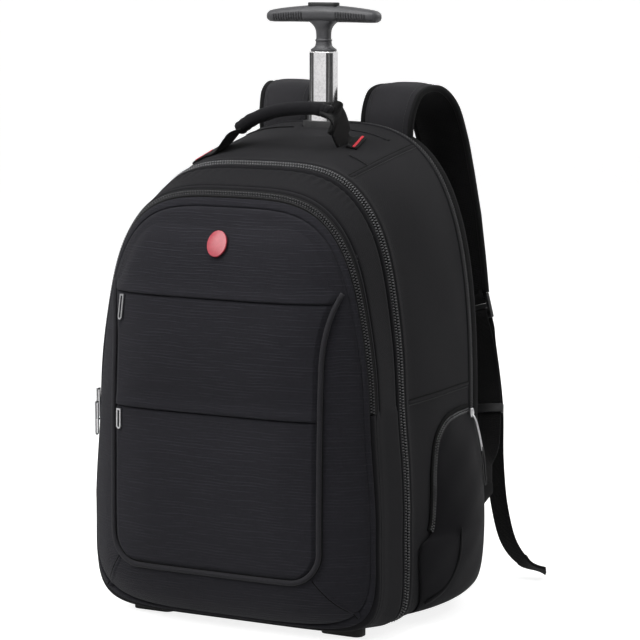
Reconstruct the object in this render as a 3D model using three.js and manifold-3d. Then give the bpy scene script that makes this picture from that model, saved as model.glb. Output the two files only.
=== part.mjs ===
// A wheeled backpack with a telescoping T handle, standing upright on two wheels and two feet.
// X runs across it, its front faces -Y and the floor is Z = 0. Left is -X and right is +X.
// Y = 0 is the edge where the sides meet the back. All sizes are in millimetres.

import * as THREE from 'three';
import { LoftGeometry } from 'three/addons/geometries/LoftGeometry.js';
import { mergeVertices } from 'three/addons/utils/BufferGeometryUtils.js';
import Module from 'manifold-3d';

const wasm = await Module();
wasm.setup();

// Cloth body
const bodyWidth = 318;
const bodyHeight = 475; // from the cloth underside to the top of the back edge
const underside = 6; // from the floor to the cloth
const mainDepth = 140;
const frontDepth = 64;
const frontBulge = 36;
const frontRoundness = 1.3; // power that the front's bulge falls off by, from its middle to its edge
const backPad = 17.5;
const cloth = 2;
const sidePuff = 2.5;
const clearance = 0.3;

// Zippers, piping and badge
const zipperWidth = 6;
const zipperProud = 1;
const pipingRadius = 1.6;
const pipingRise = 22; // above the upper seam
const pipingMargin = 4; // from the piping's middle to the panel inside it
const pocketWidth = 226; // of the panel inside the piping
const pocketBottom = 62;
const pocketCorner = 30;
const pocketFlare = { start: 268, radius: 210 }; // height where the piping leaves the straight, and its curve
const panelTop = 0.86; // share of the way from the upper seam to the top of the front
const panelWidest = 0.93; // share of the front's own width
const sheetGap = 1.1; // under the sheets on the curved front
const seamHeights = { lower: 217, upper: 327 };
const seamWidth = 1.2;
const badge = { width: 21, height: 26, thickness: 2, below: 35 }; // below the top of the front face
const overPanel = 3.1; // from the front face to a hard piece on the panels over it
const pull = { width: 6, thickness: 1.6, upper: 25, lower: 20 }; // upper and lower are the pocket pulls' lengths
const pullInset = 10; // from the side of the pocket panel to the middle of a pull on it
const pullDrop = 3; // from a pocket's seam to the top of its pull

// Pulls on the zippers at the left side: drop is from the upper seam to the top of the pull, forward from
// the middle of the zipper, and proud is how far the zipper under it stands out.
const sidePulls = [
  { name: 'front_zip_pull_upper', zipper: 'front', drop: 103, length: 32, forward: 0, proud: zipperProud },
  { name: 'front_zip_pull_lower', zipper: 'front', drop: 115, length: 34, forward: 7.6, proud: 0 },
  { name: 'main_zip_pull', zipper: 'main', drop: 267, length: 24, forward: 0, proud: zipperProud },
];

// Grab handle
const grip = { length: 116, radius: 6, rise: 33, place: -97 };
const gripWebbing = { width: 25, thickness: 3, spread: 168 };

// Shoulder straps
const strap = { width: 60, thickness: 12, spread: 118, rise: 33, reach: 98, drop: 214, splay: 62 };
const webbing = { width: 25, thickness: 1.6 };
const buckle = { width: 33, height: 26, thickness: 4.5, bar: 4.5, slot: 6 };
const keeper = { height: 9, wall: 2.2, row: 2.5 }; // row is its place among the points of the webbing
const anchor = { height: 30, thickness: 3 };

// Side pockets
const sidePocket = { bulge: 21, top: 198, depth: 117 };

// Telescoping handle: the rises are above the top of the back edge, and the foots above the floor.
const backTop = underside + bodyHeight;
const pole = { y: -11, width: 31.5, depth: 23, corner: 6, wall: 1.2, step: 1.5 };
const outerTube = { foot: 12.3, rise: -13 };
const middleTube = { foot: 90, rise: 18 };
const innerTube = { foot: 150, rise: 71 };
const collarHeight = 3;
const grooveDepth = 0.5;
const handleBar = { width: 126, height: 17.6, depth: 24, rise: 38 }; // rise is above the inner tube
const neck = { width: 14, depth: 12 };
const button = { length: 34, width: 12, stroke: 4, proud: 2.4 };
const socket = { wall: 3.2, drop: 35, rise: 2 }; // below and above the top of the back edge

// Wheels, chassis and feet
const wheel = { radius: 27, width: 22, inset: 41, y: 2, hubRadius: 17.7, clear: 3 }; // inset from the body's side
const axleRadius = 4;
const axleSeat = 6; // length of an axle in each wall beside its wheel
const wheelPlace = bodyWidth / 2 - wheel.inset;
const chassis = { inset: 21, height: 66, front: 38, wall: 5 };
const foot = { length: 44, width: 18, inset: 53, y: -170 };

// Outlines of the body, seen from the front, from its back edge to its front face. Main and front
// are shares of the two depths, wide is of half the width, and top and floor are of the height.
const outlines = [
  { main: 0, front: 0, wide: 1, top: 1, taper: -0.02, side: 3.36, crown: 3.35, floor: 0, corner: 9 },
  { main: 1, front: 0, wide: 1, top: 0.933, taper: 0.105, side: 3.85, crown: 4.44, floor: 0, corner: 10 },
  { main: 1, front: 0.87, wide: 0.985, top: 0.882, taper: 0.11, side: 3.8, crown: 4.5, floor: 0.004, corner: 7 },
  { main: 1, front: 1, wide: 0.962, top: 0.855, taper: 0.13, side: 4.2, crown: 4.4, floor: 0.014, corner: 5 },
];
const waist = 0.24; // share of the height where the upper and lower halves of an outline meet
const around = 40; // points round an outline
const turnWeight = 60; // millimetres of outline that one radian of turning counts for

// Path of a shoulder strap from the back's top edge: out is a share of its splay, back of its reach,
// down of its drop below the highest point, and wide and thick of its own section.
const strapRows = [
  { out: 0, back: 0.155, down: 0.27, wide: 0.9, thick: 0.9 },
  { out: 0, back: 0.16, down: 0.13, wide: 0.96, thick: 1 },
  { out: 0.03, back: 0.27, down: 0.03, wide: 1, thick: 1 },
  { out: 0.08, back: 0.45, down: 0, wide: 1, thick: 1 },
  { out: 0.17, back: 0.67, down: 0.015, wide: 1, thick: 1 },
  { out: 0.27, back: 0.85, down: 0.09, wide: 1, thick: 1 },
  { out: 0.38, back: 0.95, down: 0.24, wide: 1, thick: 1 },
  { out: 0.5, back: 0.99, down: 0.43, wide: 1, thick: 1 },
  { out: 0.67, back: 1, down: 0.64, wide: 0.92, thick: 0.95 },
  { out: 0.84, back: 1, down: 0.83, wide: 0.74, thick: 0.85 },
  { out: 1, back: 0.985, down: 1, wide: 0.56, thick: 0.7 },
];

// Free lower webbing: out is a share of half the body width, back of the strap's reach, and up of the
// height of the buckle. Turn is how far its width swings from X towards Y, in degrees.
const lowerWebbingRows = [
  { out: 0.985, back: 0.46, up: 0.38, turn: 80 },
  { out: 0.985, back: 0.46, up: 0.45, turn: 80 },
  { out: 0.96, back: 0.62, up: 0.55, turn: 20 },
  { out: 0.9, back: 0.83, up: 0.7, turn: 10 },
  { out: 0.83, back: 0.93, up: 0.86, turn: -15 },
];
const tailRows = [
  { out: 0.81, back: 1.09, up: 0.84, turn: -15 },
  { out: 0.86, back: 1.13, up: 0.62, turn: -20 },
  { out: 0.87, back: 1.13, up: 0.42, turn: -20 },
  { out: 0.9, back: 1.15, up: 0.25, turn: -20 },
  { out: 0.965, back: 1.19, up: 0.12, turn: -20 },
  { out: 1.06, back: 1.23, up: 0.06, turn: -20 },
  { out: 1.2, back: 1.27, up: 0.032, turn: -20 },
];

// Front edge of a side pocket: up is a share of its top, and front of its depth.
const sidePocketRows = [
  { up: 0.05, front: 0.93 },
  { up: 0.2, front: 0.99 },
  { up: 0.4, front: 1 },
  { up: 0.46, front: 0.8 },
  { up: 0.62, front: 0.745 },
  { up: 0.78, front: 0.725 },
  { up: 0.91, front: 0.66 },
  { up: 0.98, front: 0.5 },
  { up: 1, front: 0.28 },
];

// Half height and half depth of the T handle along its half length, as shares
const barRows = [
  { along: -1, high: 0.3, deep: 0.3 },
  { along: -0.965, high: 0.6, deep: 0.7 },
  { along: -0.88, high: 0.72, deep: 0.9 },
  { along: -0.55, high: 0.86, deep: 1 },
  { along: 0, high: 1, deep: 1 },
  { along: 0.55, high: 0.86, deep: 1 },
  { along: 0.88, high: 0.72, deep: 0.9 },
  { along: 0.965, high: 0.6, deep: 0.7 },
  { along: 1, high: 0.3, deep: 0.3 },
];

const cloths = {
  body: material(0x28282b, 0.85, 0),
  panel: material(0x2c2c30, 0.8, 0),
  trim: material(0x1b1b1d, 0.75, 0),
  mesh: material(0x18181a, 0.95, 0),
  webbing: material(0x1d1d1f, 0.7, 0),
};
const plastics = {
  black: material(0x141416, 0.5, 0),
  grey: material(0x3b3b3e, 0.55, 0),
  red: material(0x9c2430, 0.45, 0),
};
const metals = {
  tube: material(0xb9bbbe, 0.25, 1),
  pull: material(0x8f9296, 0.3, 1),
};

function material(color, roughness, metalness) {
  return new THREE.MeshStandardMaterial({ color, roughness, metalness });
}

const pack = new THREE.Group();

function add(name, geometry, look) {
  geometry.computeVertexNormals();
  const mesh = new THREE.Mesh(geometry, look);
  mesh.name = name;
  pack.add(mesh);
  return mesh;
}

function point(x, y, z) {
  return new THREE.Vector3(x, y, z);
}

function between(a, b, share) {
  return THREE.MathUtils.lerp(a, b, share);
}

// Closed meshes

function signedVolume(position, index) {
  const a = new THREE.Vector3();
  const b = new THREE.Vector3();
  const c = new THREE.Vector3();
  let volume = 0;
  for (let i = 0; i < index.length; i += 3) {
    a.fromBufferAttribute(position, index[i]);
    b.fromBufferAttribute(position, index[i + 1]);
    c.fromBufferAttribute(position, index[i + 2]);
    volume += a.dot(b.cross(c));
  }
  return volume;
}

// Shares the vertices that meet, drops triangles without area and turns the faces outwards.
function closed(geometry) {
  const bare = new THREE.BufferGeometry().copy(geometry);
  bare.deleteAttribute('normal');
  bare.deleteAttribute('uv');
  const merged = mergeVertices(bare, 1e-3);
  const kept = [];
  const index = merged.index.array;
  for (let i = 0; i < index.length; i += 3) {
    const [a, b, c] = index.slice(i, i + 3);
    if (a !== b && b !== c && c !== a) kept.push(a, b, c);
  }
  if (signedVolume(merged.attributes.position, kept) < 0) kept.reverse();
  merged.setIndex(kept);
  return merged;
}

// Direction that a section faces, by the turning of its outline.
function facing(section) {
  const normal = new THREE.Vector3();
  section.forEach((p, i) => normal.add(p.clone().cross(section[(i + 1) % section.length])));
  return normal;
}

function middleOf(section) {
  return section.reduce((sum, p) => sum.add(p), new THREE.Vector3()).divideScalar(section.length);
}

// Skins a row of sections. A looped one closes on itself, and the others are capped at both ends.
function loft(sections, { looped = false } = {}) {
  if (looped) return closed(new LoftGeometry([...sections, sections[0]]));
  const run = middleOf(sections[1]).sub(middleOf(sections[0]));
  const rows = facing(sections[0]).dot(run) < 0 ? sections.map((row) => [...row].reverse()) : sections;
  return closed(new LoftGeometry(rows, { capStart: true, capEnd: true }));
}

function toSolid(geometry) {
  const mesh = closed(geometry);
  return new wasm.Manifold(new wasm.Mesh({
    numProp: 3,
    vertProperties: new Float32Array(mesh.attributes.position.array),
    triVerts: new Uint32Array(mesh.index.array),
  }));
}

function toGeometry(solid) {
  const mesh = solid.getMesh();
  const geometry = new THREE.BufferGeometry();
  geometry.setAttribute('position', new THREE.BufferAttribute(mesh.vertProperties, 3));
  geometry.setIndex(new THREE.BufferAttribute(mesh.triVerts, 1));
  return geometry;
}

function cut(geometry, ...tools) {
  return toGeometry(tools.reduce((solid, tool) => solid.subtract(toSolid(tool)), toSolid(geometry)));
}

function join(geometry, ...others) {
  return toGeometry(others.reduce((solid, other) => solid.add(toSolid(other)), toSolid(geometry)));
}

function common(geometry, other) {
  return toGeometry(toSolid(geometry).intersect(toSolid(other)));
}

function mirrored(geometry) {
  return closed(new THREE.BufferGeometry().copy(geometry).scale(-1, 1, 1));
}

function block(x, y, z) {
  const size = [x, y, z].map(([low, high]) => high - low);
  const middle = [x, y, z].map(([low, high]) => (high + low) / 2);
  return new THREE.BoxGeometry(...size).translate(...middle);
}

// Body outlines

function placeOf(row) {
  return -(row.main * mainDepth + row.front * frontDepth);
}

function outlineAt(y) {
  let i = 0;
  while (i < outlines.length - 2 && y < placeOf(outlines[i + 1])) i++;
  const from = outlines[i];
  const to = outlines[i + 1];
  const share = THREE.MathUtils.clamp((placeOf(from) - y) / (placeOf(from) - placeOf(to)), 0, 1);
  const row = {};
  for (const key in from) row[key] = between(from[key], to[key], share);
  return {
    ...row,
    half: row.wide * bodyWidth / 2,
    low: underside + row.floor * bodyHeight,
    middle: underside + waist * bodyHeight,
    high: underside + row.top * bodyHeight,
  };
}

// Puff of the cloth between its seams, outwards, in the main and the front compartment.
function puffAt(y) {
  if (y >= 0 || y <= -mainDepth) return 0;
  return sidePuff * Math.sin(Math.PI * -y / mainDepth);
}

// Right half of an outline from its bottom middle to its top middle: two quarters of superellipses,
// the upper one narrowing upwards by its taper.
function halfOutline(y) {
  const shape = outlineAt(y);
  const fine = 120;
  const points = [];
  for (let i = 0; i <= fine; i++) {
    const angle = i / fine * Math.PI / 2;
    const x = shape.half * Math.sin(angle) ** (2 / shape.corner);
    const z = shape.middle - (shape.middle - shape.low) * Math.cos(angle) ** (2 / shape.corner);
    points.push(new THREE.Vector2(x, z));
  }
  for (let i = 1; i <= fine; i++) {
    const angle = i / fine * Math.PI / 2;
    const rise = Math.sin(angle) ** (2 / shape.crown);
    const x = shape.half * (1 - shape.taper * rise) * Math.cos(angle) ** (2 / shape.side);
    points.push(new THREE.Vector2(x, shape.middle + (shape.high - shape.middle) * rise));
  }
  return points;
}

// Even steps along a curve, with more of them where it turns.
function respaced(points, count) {
  const measure = [0];
  let heading = null;
  for (let i = 1; i < points.length; i++) {
    const step = points[i].clone().sub(points[i - 1]);
    const turn = heading === null ? 0 : Math.abs(Math.atan2(heading.cross(step), heading.dot(step)));
    measure.push(measure[i - 1] + step.length() + turnWeight * turn);
    heading = step;
  }
  const spaced = [];
  for (let k = 0, i = 0; k <= count; k++) {
    const target = measure.at(-1) * k / count;
    while (i < points.length - 2 && measure[i + 1] < target) i++;
    const share = (target - measure[i]) / (measure[i + 1] - measure[i]);
    spaced.push(points[i].clone().lerp(points[i + 1], share));
  }
  return spaced;
}

const loops = new Map();

// Whole outline as a loop that starts at the bottom middle and climbs the right side, moved inwards.
function outlineLoop(y, inset) {
  const key = `${y} ${inset}`;
  if (loops.has(key)) return loops.get(key);
  const right = respaced(halfOutline(y), around / 2);
  const left = right.slice(1, -1).reverse().map((p) => new THREE.Vector2(-p.x, p.y));
  const loop = [...right, ...left];
  const moved = loop.map((p, i) => {
    const along = loop[(i + 1) % around].clone().sub(loop[(i + around - 1) % around]).normalize();
    const outwards = puffAt(y) - inset;
    return new THREE.Vector2(p.x + along.y * outwards, p.y - along.x * outwards);
  });
  loops.set(key, moved);
  return moved;
}

function outlinePoint(y, inset, i) {
  const p = outlineLoop(y, inset)[(i + around) % around];
  return point(p.x, y, p.y);
}

// A wall that runs round the body, from rows of { y, inset } that go round its cross-section.
function bandSections(rows, from, to) {
  const sections = [];
  for (let i = from; i <= to; i++) sections.push(rows.map((row) => outlinePoint(row.y, row.inset, i)));
  return sections;
}

function wholeBand(rows) {
  return loft(bandSections(rows, 0, around - 1), { looped: true });
}

function bandRows(places, outer, thickness) {
  const outside = places.map((y) => ({ y, inset: -outer }));
  const inside = [...places].reverse().map((y) => ({ y, inset: thickness - outer }));
  return [...outside, ...inside];
}

// Solid body of the given rows of { y, inset }, closed with a flat face at each end.
function outlineSolid(rows) {
  const ring = (row) => Array.from({ length: around }, (_, i) => outlinePoint(row.y, row.inset, i));
  return loft(rows.map(ring));
}

// Share of the way from the middle of the front face to its edge, raised to the edge's own roundness.
function frontLevel(x, z) {
  const shape = outlineAt(frontEdge);
  if (z < shape.middle) {
    const down = (shape.middle - z) / (shape.middle - shape.low);
    return (Math.abs(x) / shape.half) ** shape.side + down ** shape.corner;
  }
  const up = (z - shape.middle) / (shape.high - shape.middle);
  const half = shape.half * (1 - shape.taper * Math.min(up, 1));
  return (Math.abs(x) / half) ** shape.side + up ** shape.crown;
}

function frontFace(x, z, proud = 0) {
  return frontEdge - proud - frontBulge * Math.max(0, 1 - frontLevel(x, z) ** frontRoundness);
}

// Half width of the body's side wall at a depth and a height.
function sideWall(y, z) {
  const shape = outlineAt(y);
  if (z < shape.middle) {
    const down = Math.min(1, (shape.middle - z) / (shape.middle - shape.low));
    return shape.half * (1 - down ** shape.corner) ** (1 / shape.corner) + puffAt(y);
  }
  const up = Math.min(1, (z - shape.middle) / (shape.high - shape.middle));
  const half = shape.half * (1 - shape.taper * up);
  return half * (1 - up ** shape.crown) ** (1 / shape.side) + puffAt(y);
}

const backZipper = { back: 2.3 + zipperWidth, front: 2.3 };
const mainZipper = { back: -mainDepth + zipperWidth / 2, front: -mainDepth - zipperWidth / 2 };
const frontZipper = { back: -mainDepth - frontDepth * 0.87 + zipperWidth / 2 };
frontZipper.front = frontZipper.back - zipperWidth;
const frontEdge = -mainDepth - frontDepth;
const backFront = backZipper.back + clearance;
const backFace = backFront + backPad;

const gussetSteps = { main: 3, front: 2 };

function evenly(from, to, steps) {
  return Array.from({ length: steps + 1 }, (_, i) => between(from, to, i / steps));
}

const gussetPlaces = {
  main: evenly(backZipper.front - clearance, mainZipper.back + clearance, gussetSteps.main),
  front: evenly(mainZipper.front - clearance, frontZipper.back + clearance, gussetSteps.front),
};

// Tools that keep other pieces clear of the body and the padded back.
const bodyEnvelope = outlineSolid([
  ...[backZipper.front, ...gussetPlaces.main, ...gussetPlaces.front].map((y) => ({ y, inset: -clearance })),
  { y: frontZipper.back, inset: -clearance },
]);

function backRows(grow) {
  return [
    { y: backFront - grow, inset: 1.5 - grow },
    { y: backFront + backPad * 0.55, inset: -grow },
    { y: backFront + backPad * 0.85, inset: 3 - grow },
    { y: backFace + grow, inset: 9 - grow },
  ];
}

const backEnvelope = outlineSolid(backRows(clearance));

// Telescoping tubes

function roundedSection(width, depth, corner, grooved = false) {
  const x = width / 2;
  const y = depth / 2;
  const shape = new THREE.Shape();
  const bite = corner * 0.72;
  shape.moveTo(x, -y + corner);
  shape.lineTo(x, y - corner);
  shape.absarc(x - corner, y - corner, corner, 0, Math.PI / 2);
  shape.lineTo(-x + corner, y);
  shape.absarc(-x + corner, y - corner, corner, Math.PI / 2, Math.PI);
  shape.lineTo(-x, -y + corner);
  if (grooved) {
    groove(shape, -x, -y, corner, bite, 1);
    groove(shape, x, -y, corner, bite, -1);
  } else {
    shape.absarc(-x + corner, -y + corner, corner, Math.PI, 1.5 * Math.PI);
    shape.lineTo(x - corner, -y);
    shape.absarc(x - corner, -y + corner, corner, 1.5 * Math.PI, 2 * Math.PI);
  }
  return shape;
}

// One front corner of a tube with a shallow groove down its middle, drawn from -X to +X.
function groove(shape, x, y, corner, bite, side) {
  const centre = new THREE.Vector2(x + side * corner, y + corner);
  const spread = [-45, -18, -17, 17, 18, 45];
  const angles = side > 0 ? spread : [...spread].reverse();
  for (const degrees of angles) {
    const radius = Math.abs(degrees) === 17 ? corner - grooveDepth : corner;
    const angle = THREE.MathUtils.degToRad(side > 0 ? 225 + degrees : 315 - degrees);
    shape.lineTo(centre.x + radius * Math.cos(angle), centre.y + radius * Math.sin(angle));
  }
}

function tubeSize(stage) {
  return {
    width: pole.width - 2 * stage * pole.step,
    depth: pole.depth - 2 * stage * pole.step,
    corner: pole.corner - stage * pole.step,
  };
}

function bored(shape, size, wall) {
  const hole = roundedSection(size.width - 2 * wall, size.depth - 2 * wall, Math.max(size.corner - wall, 1));
  shape.holes.push(hole);
  return shape;
}

function poleBar(shape, bottom, top) {
  const bar = new THREE.ExtrudeGeometry(shape, { depth: top - bottom, bevelEnabled: false, curveSegments: 2 });
  return bar.translate(0, pole.y, bottom);
}

function poleBlock(size, grow, bottom, top) {
  const shape = roundedSection(size.width + 2 * grow, size.depth + 2 * grow, size.corner + grow);
  return poleBar(shape, bottom, top);
}

function addTubes() {
  const stages = [
    { name: 'outer_tube', tube: outerTube, grooved: false },
    { name: 'middle_tube', tube: middleTube, grooved: true },
    { name: 'inner_tube', tube: innerTube, grooved: true },
  ];
  stages.forEach((stage, i) => {
    const size = tubeSize(i);
    const shape = bored(roundedSection(size.width, size.depth, size.corner, stage.grooved), size, pole.wall);
    add(stage.name, closed(poleBar(shape, stage.tube.foot, backTop + stage.tube.rise)), metals.tube);
  });
  const middle = tubeSize(1);
  const inner = tubeSize(2);
  const rim = bored(roundedSection(middle.width, middle.depth, middle.corner), inner, -clearance);
  const bottom = backTop + middleTube.rise + clearance;
  add('middle_collar', closed(poleBar(rim, bottom, bottom + collarHeight)), plastics.black);
}

// The socket that holds the outer tube in the top of the body, with a lip that guides the middle tube.
function socketBlock(grow, bottom, top) {
  const size = tubeSize(0);
  const width = size.width + 2 * socket.wall;
  const depth = size.depth + 2 * socket.lip;
  return poleBlock({ width, depth, corner: size.corner }, grow, bottom, top);
}
socket.lip = backZipper.front - clearance - pole.y - pole.depth / 2;

function addPoleSocket() {
  const bottom = backTop - socket.drop;
  const top = backTop + socket.rise;
  const tubeTop = backTop + outerTube.rise;
  const sleeve = cut(
    socketBlock(0, bottom, top),
    poleBlock(tubeSize(0), clearance, bottom - 1, tubeTop + clearance),
    poleBlock(tubeSize(1), clearance, tubeTop - 1, top + 1),
  );
  add('pole_socket', sleeve, plastics.black);
}

// T handle

function oval(centre, across, up, count = 12, power = 2.6) {
  return Array.from({ length: count }, (_, i) => {
    const angle = i / count * 2 * Math.PI;
    const c = Math.sign(Math.cos(angle)) * Math.abs(Math.cos(angle)) ** (2 / power);
    const s = Math.sign(Math.sin(angle)) * Math.abs(Math.sin(angle)) ** (2 / power);
    return centre.clone().addScaledVector(across, c).addScaledVector(up, s);
  });
}

function addHandle() {
  const middle = backTop + innerTube.rise + handleBar.rise;
  const half = { x: handleBar.width / 2, y: handleBar.depth / 2, z: handleBar.height / 2 };
  const bar = loft(barRows.map((row) => {
    const centre = point(row.along * half.x, pole.y, middle - half.z * 0.35 * row.along ** 2);
    return oval(centre, point(0, row.deep * half.y, 0), point(0, 0, row.high * half.z));
  }));
  const tube = tubeSize(2);
  const seat = backTop + innerTube.rise + clearance;
  const low = middle - half.z;
  const neckRows = [
    { z: seat, x: tube.width / 2, y: tube.depth / 2 },
    { z: seat + 4, x: tube.width / 2 - 0.5, y: tube.depth / 2 - 0.5 },
    { z: seat + 9, x: neck.width / 2, y: neck.depth / 2 },
    { z: low - 8, x: neck.width / 2 + 1, y: neck.depth / 2 + 0.5 },
    { z: low - 2, x: neck.width / 2 + 5, y: neck.depth / 2 + 2 },
    { z: low + 3, x: neck.width / 2 + 12, y: neck.depth / 2 + 3 },
  ];
  const ring = (row) => oval(point(0, pole.y, row.z), point(row.x, 0, 0), point(0, row.y, 0));
  const stem = loft(neckRows.map(ring));
  const top = middle + half.z;
  const slot = buttonBlock(clearance, top - button.stroke - 3, top + 10);
  add('trolley_handle', cut(join(bar, stem), slot), plastics.grey);
  add('handle_button', closed(buttonBlock(0, top - 2.6, top + button.proud)), plastics.black);
}

function buttonBlock(grow, bottom, top) {
  const corner = button.width / 2 - 0.5;
  return poleBlock({ width: button.length, depth: button.width, corner }, grow, bottom, top);
}

// Body walls

function addBody() {
  const poleCut = socketBlock(clearance, backTop - 2 * socket.drop, backTop + socket.drop);
  const inChassis = chassisBlock(clearance);
  const gusset = wholeBand(bandRows(gussetPlaces.main, 0, cloth));
  add('main_gusset', cut(gusset, poleCut, inChassis), cloths.body);
  const backBand = wholeBand(bandRows([backZipper.back, backZipper.front], zipperProud, cloth + zipperProud));
  add('back_zipper', cut(backBand, inChassis), cloths.trim);
  const mainBand = bandRows([mainZipper.back, mainZipper.front], zipperProud, cloth + zipperProud);
  add('main_zipper', wholeBand(mainBand), cloths.trim);
  add('front_gusset', wholeBand(bandRows(gussetPlaces.front, 0, cloth)), cloths.body);
  addFrontZipper();
  const back = outlineSolid(backRows(0));
  const below = block([-bodyWidth, bodyWidth], [-bodyWidth, bodyWidth], [-10, chassis.height + clearance]);
  add('back_panel', cut(back, below), cloths.mesh);
}

const zipperStart = 7; // outline point where the front zipper begins on the right side

function addFrontZipper() {
  const { back, front } = frontZipper;
  const arch = bandRows([back, front], zipperProud, cloth + zipperProud);
  add('front_zipper', loft(bandSections(arch, zipperStart, around - zipperStart)), cloths.trim);
  const plain = bandRows([back, front], 0, cloth);
  const low = bandSections(plain, -zipperStart, zipperStart);
  const gap = clearance / low[0][0].distanceTo(low[1][0]);
  for (const [end, next] of [[0, 1], [low.length - 1, low.length - 2]]) {
    low[end] = low[end].map((p, j) => p.clone().lerp(low[next][j], gap));
  }
  add('front_lower_band', loft(low), cloths.body);
}

// Points of the front face from its edge to its middle, at one of the points round the outline.
const domeShares = [0.985, 0.94, 0.85, 0.7, 0.42, 0];

function domeRow(i, proud) {
  const shape = outlineAt(frontEdge);
  const edge = outlinePoint(frontEdge, -proud, i);
  return domeShares.map((share) => {
    const x = edge.x * share;
    const z = between(shape.middle, edge.z, share);
    return point(x, frontFace(x, z, proud), z);
  });
}

// A domed shell from its edge to its middle, and back again inside.
function addFrontPanel() {
  const shape = outlineAt(frontEdge);
  const back = frontZipper.front - clearance;
  const sections = [];
  for (let i = 0; i < around; i++) {
    const domed = domeRow(i, 0);
    const inner = [...domed].reverse().map((p) => {
      const x = p.x * (1 - cloth / shape.half);
      const z = between(shape.middle, p.z, 1 - cloth / (shape.high - shape.middle));
      return point(x, p.y + cloth * 1.2, z);
    });
    const rim = [outlinePoint(back, 0, i), outlinePoint(frontEdge, 0, i)];
    const innerRim = [outlinePoint(frontEdge, cloth, i), outlinePoint(back, cloth, i)];
    sections.push([...rim, ...domed, ...inner, ...innerRim]);
  }
  add('front_panel', loft(sections, { looped: true }), cloths.body);
}

// Tool that keeps the pieces on the front face clear of it.
function frontEnvelope() {
  const middle = point(0, frontZipper.front, outlineAt(frontEdge).middle);
  const sections = [];
  for (let i = 0; i < around; i++) {
    const rim = outlinePoint(frontZipper.front, -clearance, i);
    sections.push([middle, rim, outlinePoint(frontEdge, -clearance, i), ...domeRow(i, clearance)]);
  }
  return loft(sections, { looped: true });
}

// Pocket panel on the front face

// Half width of the pocket panel at a height, moved in from its piping.
function pocketHalf(z, inset = 0) {
  const half = pocketWidth / 2;
  const low = pocketBottom + pocketCorner;
  if (z < low) {
    return half - pocketCorner + Math.sqrt(Math.max(0, (pocketCorner - inset) ** 2 - (low - z) ** 2));
  }
  const flare = Math.max(0, z - pocketFlare.start);
  return half - inset + flare ** 2 / (2 * pocketFlare.radius);
}

function faceEdge(z) {
  const shape = outlineAt(frontEdge);
  const up = Math.min(0.999, Math.max(0, (z - shape.middle) / (shape.high - shape.middle)));
  return shape.half * (1 - shape.taper * up) * (1 - up ** shape.crown) ** (1 / shape.side);
}

// A sheet on the front face between two heights, as wide as the pocket panel there.
function faceSheet(rows, across) {
  const sections = [];
  for (const place of evenly(-1, 1, across)) {
    const share = Math.sin(place * Math.PI / 2);
    const at = (z, proud) => {
      const x = share * Math.min(pocketHalf(z, pipingMargin), faceEdge(z) * panelWidest - pipingMargin);
      return point(x, frontFace(x, z, proud), z);
    };
    const under = [...rows].reverse().map((z) => at(z, sheetGap));
    sections.push([...rows.map((z) => at(z, sheetGap + cloth)), ...under]);
  }
  return loft(sections);
}

function addPocketPanels() {
  const { lower, upper } = seamHeights;
  const shape = outlineAt(frontEdge);
  const low = pocketBottom + pipingMargin;
  const half = seamWidth / 2;
  const corner = [0, 0.04, 0.16, 0.4].map((share) => low + share * pocketCorner);
  const lowerRows = [...corner, ...evenly(pocketBottom + pocketCorner, lower - half, 3)];
  add('pocket_panel_lower', faceSheet(lowerRows, 12), cloths.panel);
  add('pocket_panel_middle', faceSheet(evenly(lower + half, upper - half, 4), 14), cloths.panel);
  const top = between(upper, shape.high, panelTop);
  add('front_panel_top', faceSheet(evenly(upper + half, top, 5), 12), cloths.panel);
}

function addPiping() {
  const corner = pocketCorner;
  const half = pocketWidth / 2;
  const top = seamHeights.upper + pipingRise;
  const low = pocketBottom + corner;
  const straight = evenly(seamHeights.upper, between(low, seamHeights.upper, 0.2), 4);
  const spots = [top, ...straight].map((z) => [pocketHalf(z), z]);
  for (const degrees of [0, 22.5, 45, 67.5, 90]) {
    const angle = THREE.MathUtils.degToRad(degrees);
    spots.push([half - corner + corner * Math.cos(angle), pocketBottom + corner - corner * Math.sin(angle)]);
  }
  spots.push([half * 0.35, pocketBottom]);
  const right = spots.map(([x, z]) => point(x, 0, z));
  const left = [...right].reverse().map((p) => point(-p.x, 0, p.z));
  const line = [...right, ...left];
  const proud = pipingRadius + clearance + 0.5;
  const path = line.map((p) => point(p.x, frontFace(p.x, p.z, proud), p.z));
  const sections = path.map((p, i) => {
    const along = path[Math.min(i + 1, path.length - 1)].clone().sub(path[Math.max(i - 1, 0)]).normalize();
    const forward = point(0, -1, 0);
    const across = along.clone().cross(forward).normalize();
    const up = across.clone().cross(along);
    return oval(p, across.multiplyScalar(pipingRadius), up.multiplyScalar(pipingRadius), 6, 2);
  });
  add('pocket_piping', cut(loft(sections), frontEnvelope()), cloths.trim);
}

// Lays a flat piece, drawn in X and Y with its thickness along Z, onto the front face.
function onFront(geometry, x, z, proud) {
  const step = 4;
  const slopeUp = (frontFace(x, z + step) - frontFace(x, z - step)) / (2 * step);
  const slopeOut = (frontFace(x + step, z) - frontFace(x - step, z)) / (2 * step);
  const outward = point(slopeOut, -1, slopeUp).normalize();
  const up = point(0, slopeUp, 1).normalize();
  const across = up.clone().cross(outward).normalize();
  const turned = new THREE.Matrix4().makeBasis(across, outward.clone().cross(across), outward);
  turned.setPosition(point(x, frontFace(x, z), z).addScaledVector(outward, proud));
  return closed(geometry.applyMatrix4(turned));
}

function addBadge() {
  const shape = new THREE.Shape();
  shape.absellipse(0, 0, badge.width / 2, badge.height / 2, 0, 2 * Math.PI);
  const depth = badge.thickness;
  const plate = new THREE.ExtrudeGeometry(shape, { depth, bevelEnabled: false, curveSegments: 20 });
  add('front_badge', onFront(plate, 0, outlineAt(frontEdge).high - badge.below, overPanel), plastics.red);
}

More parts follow.
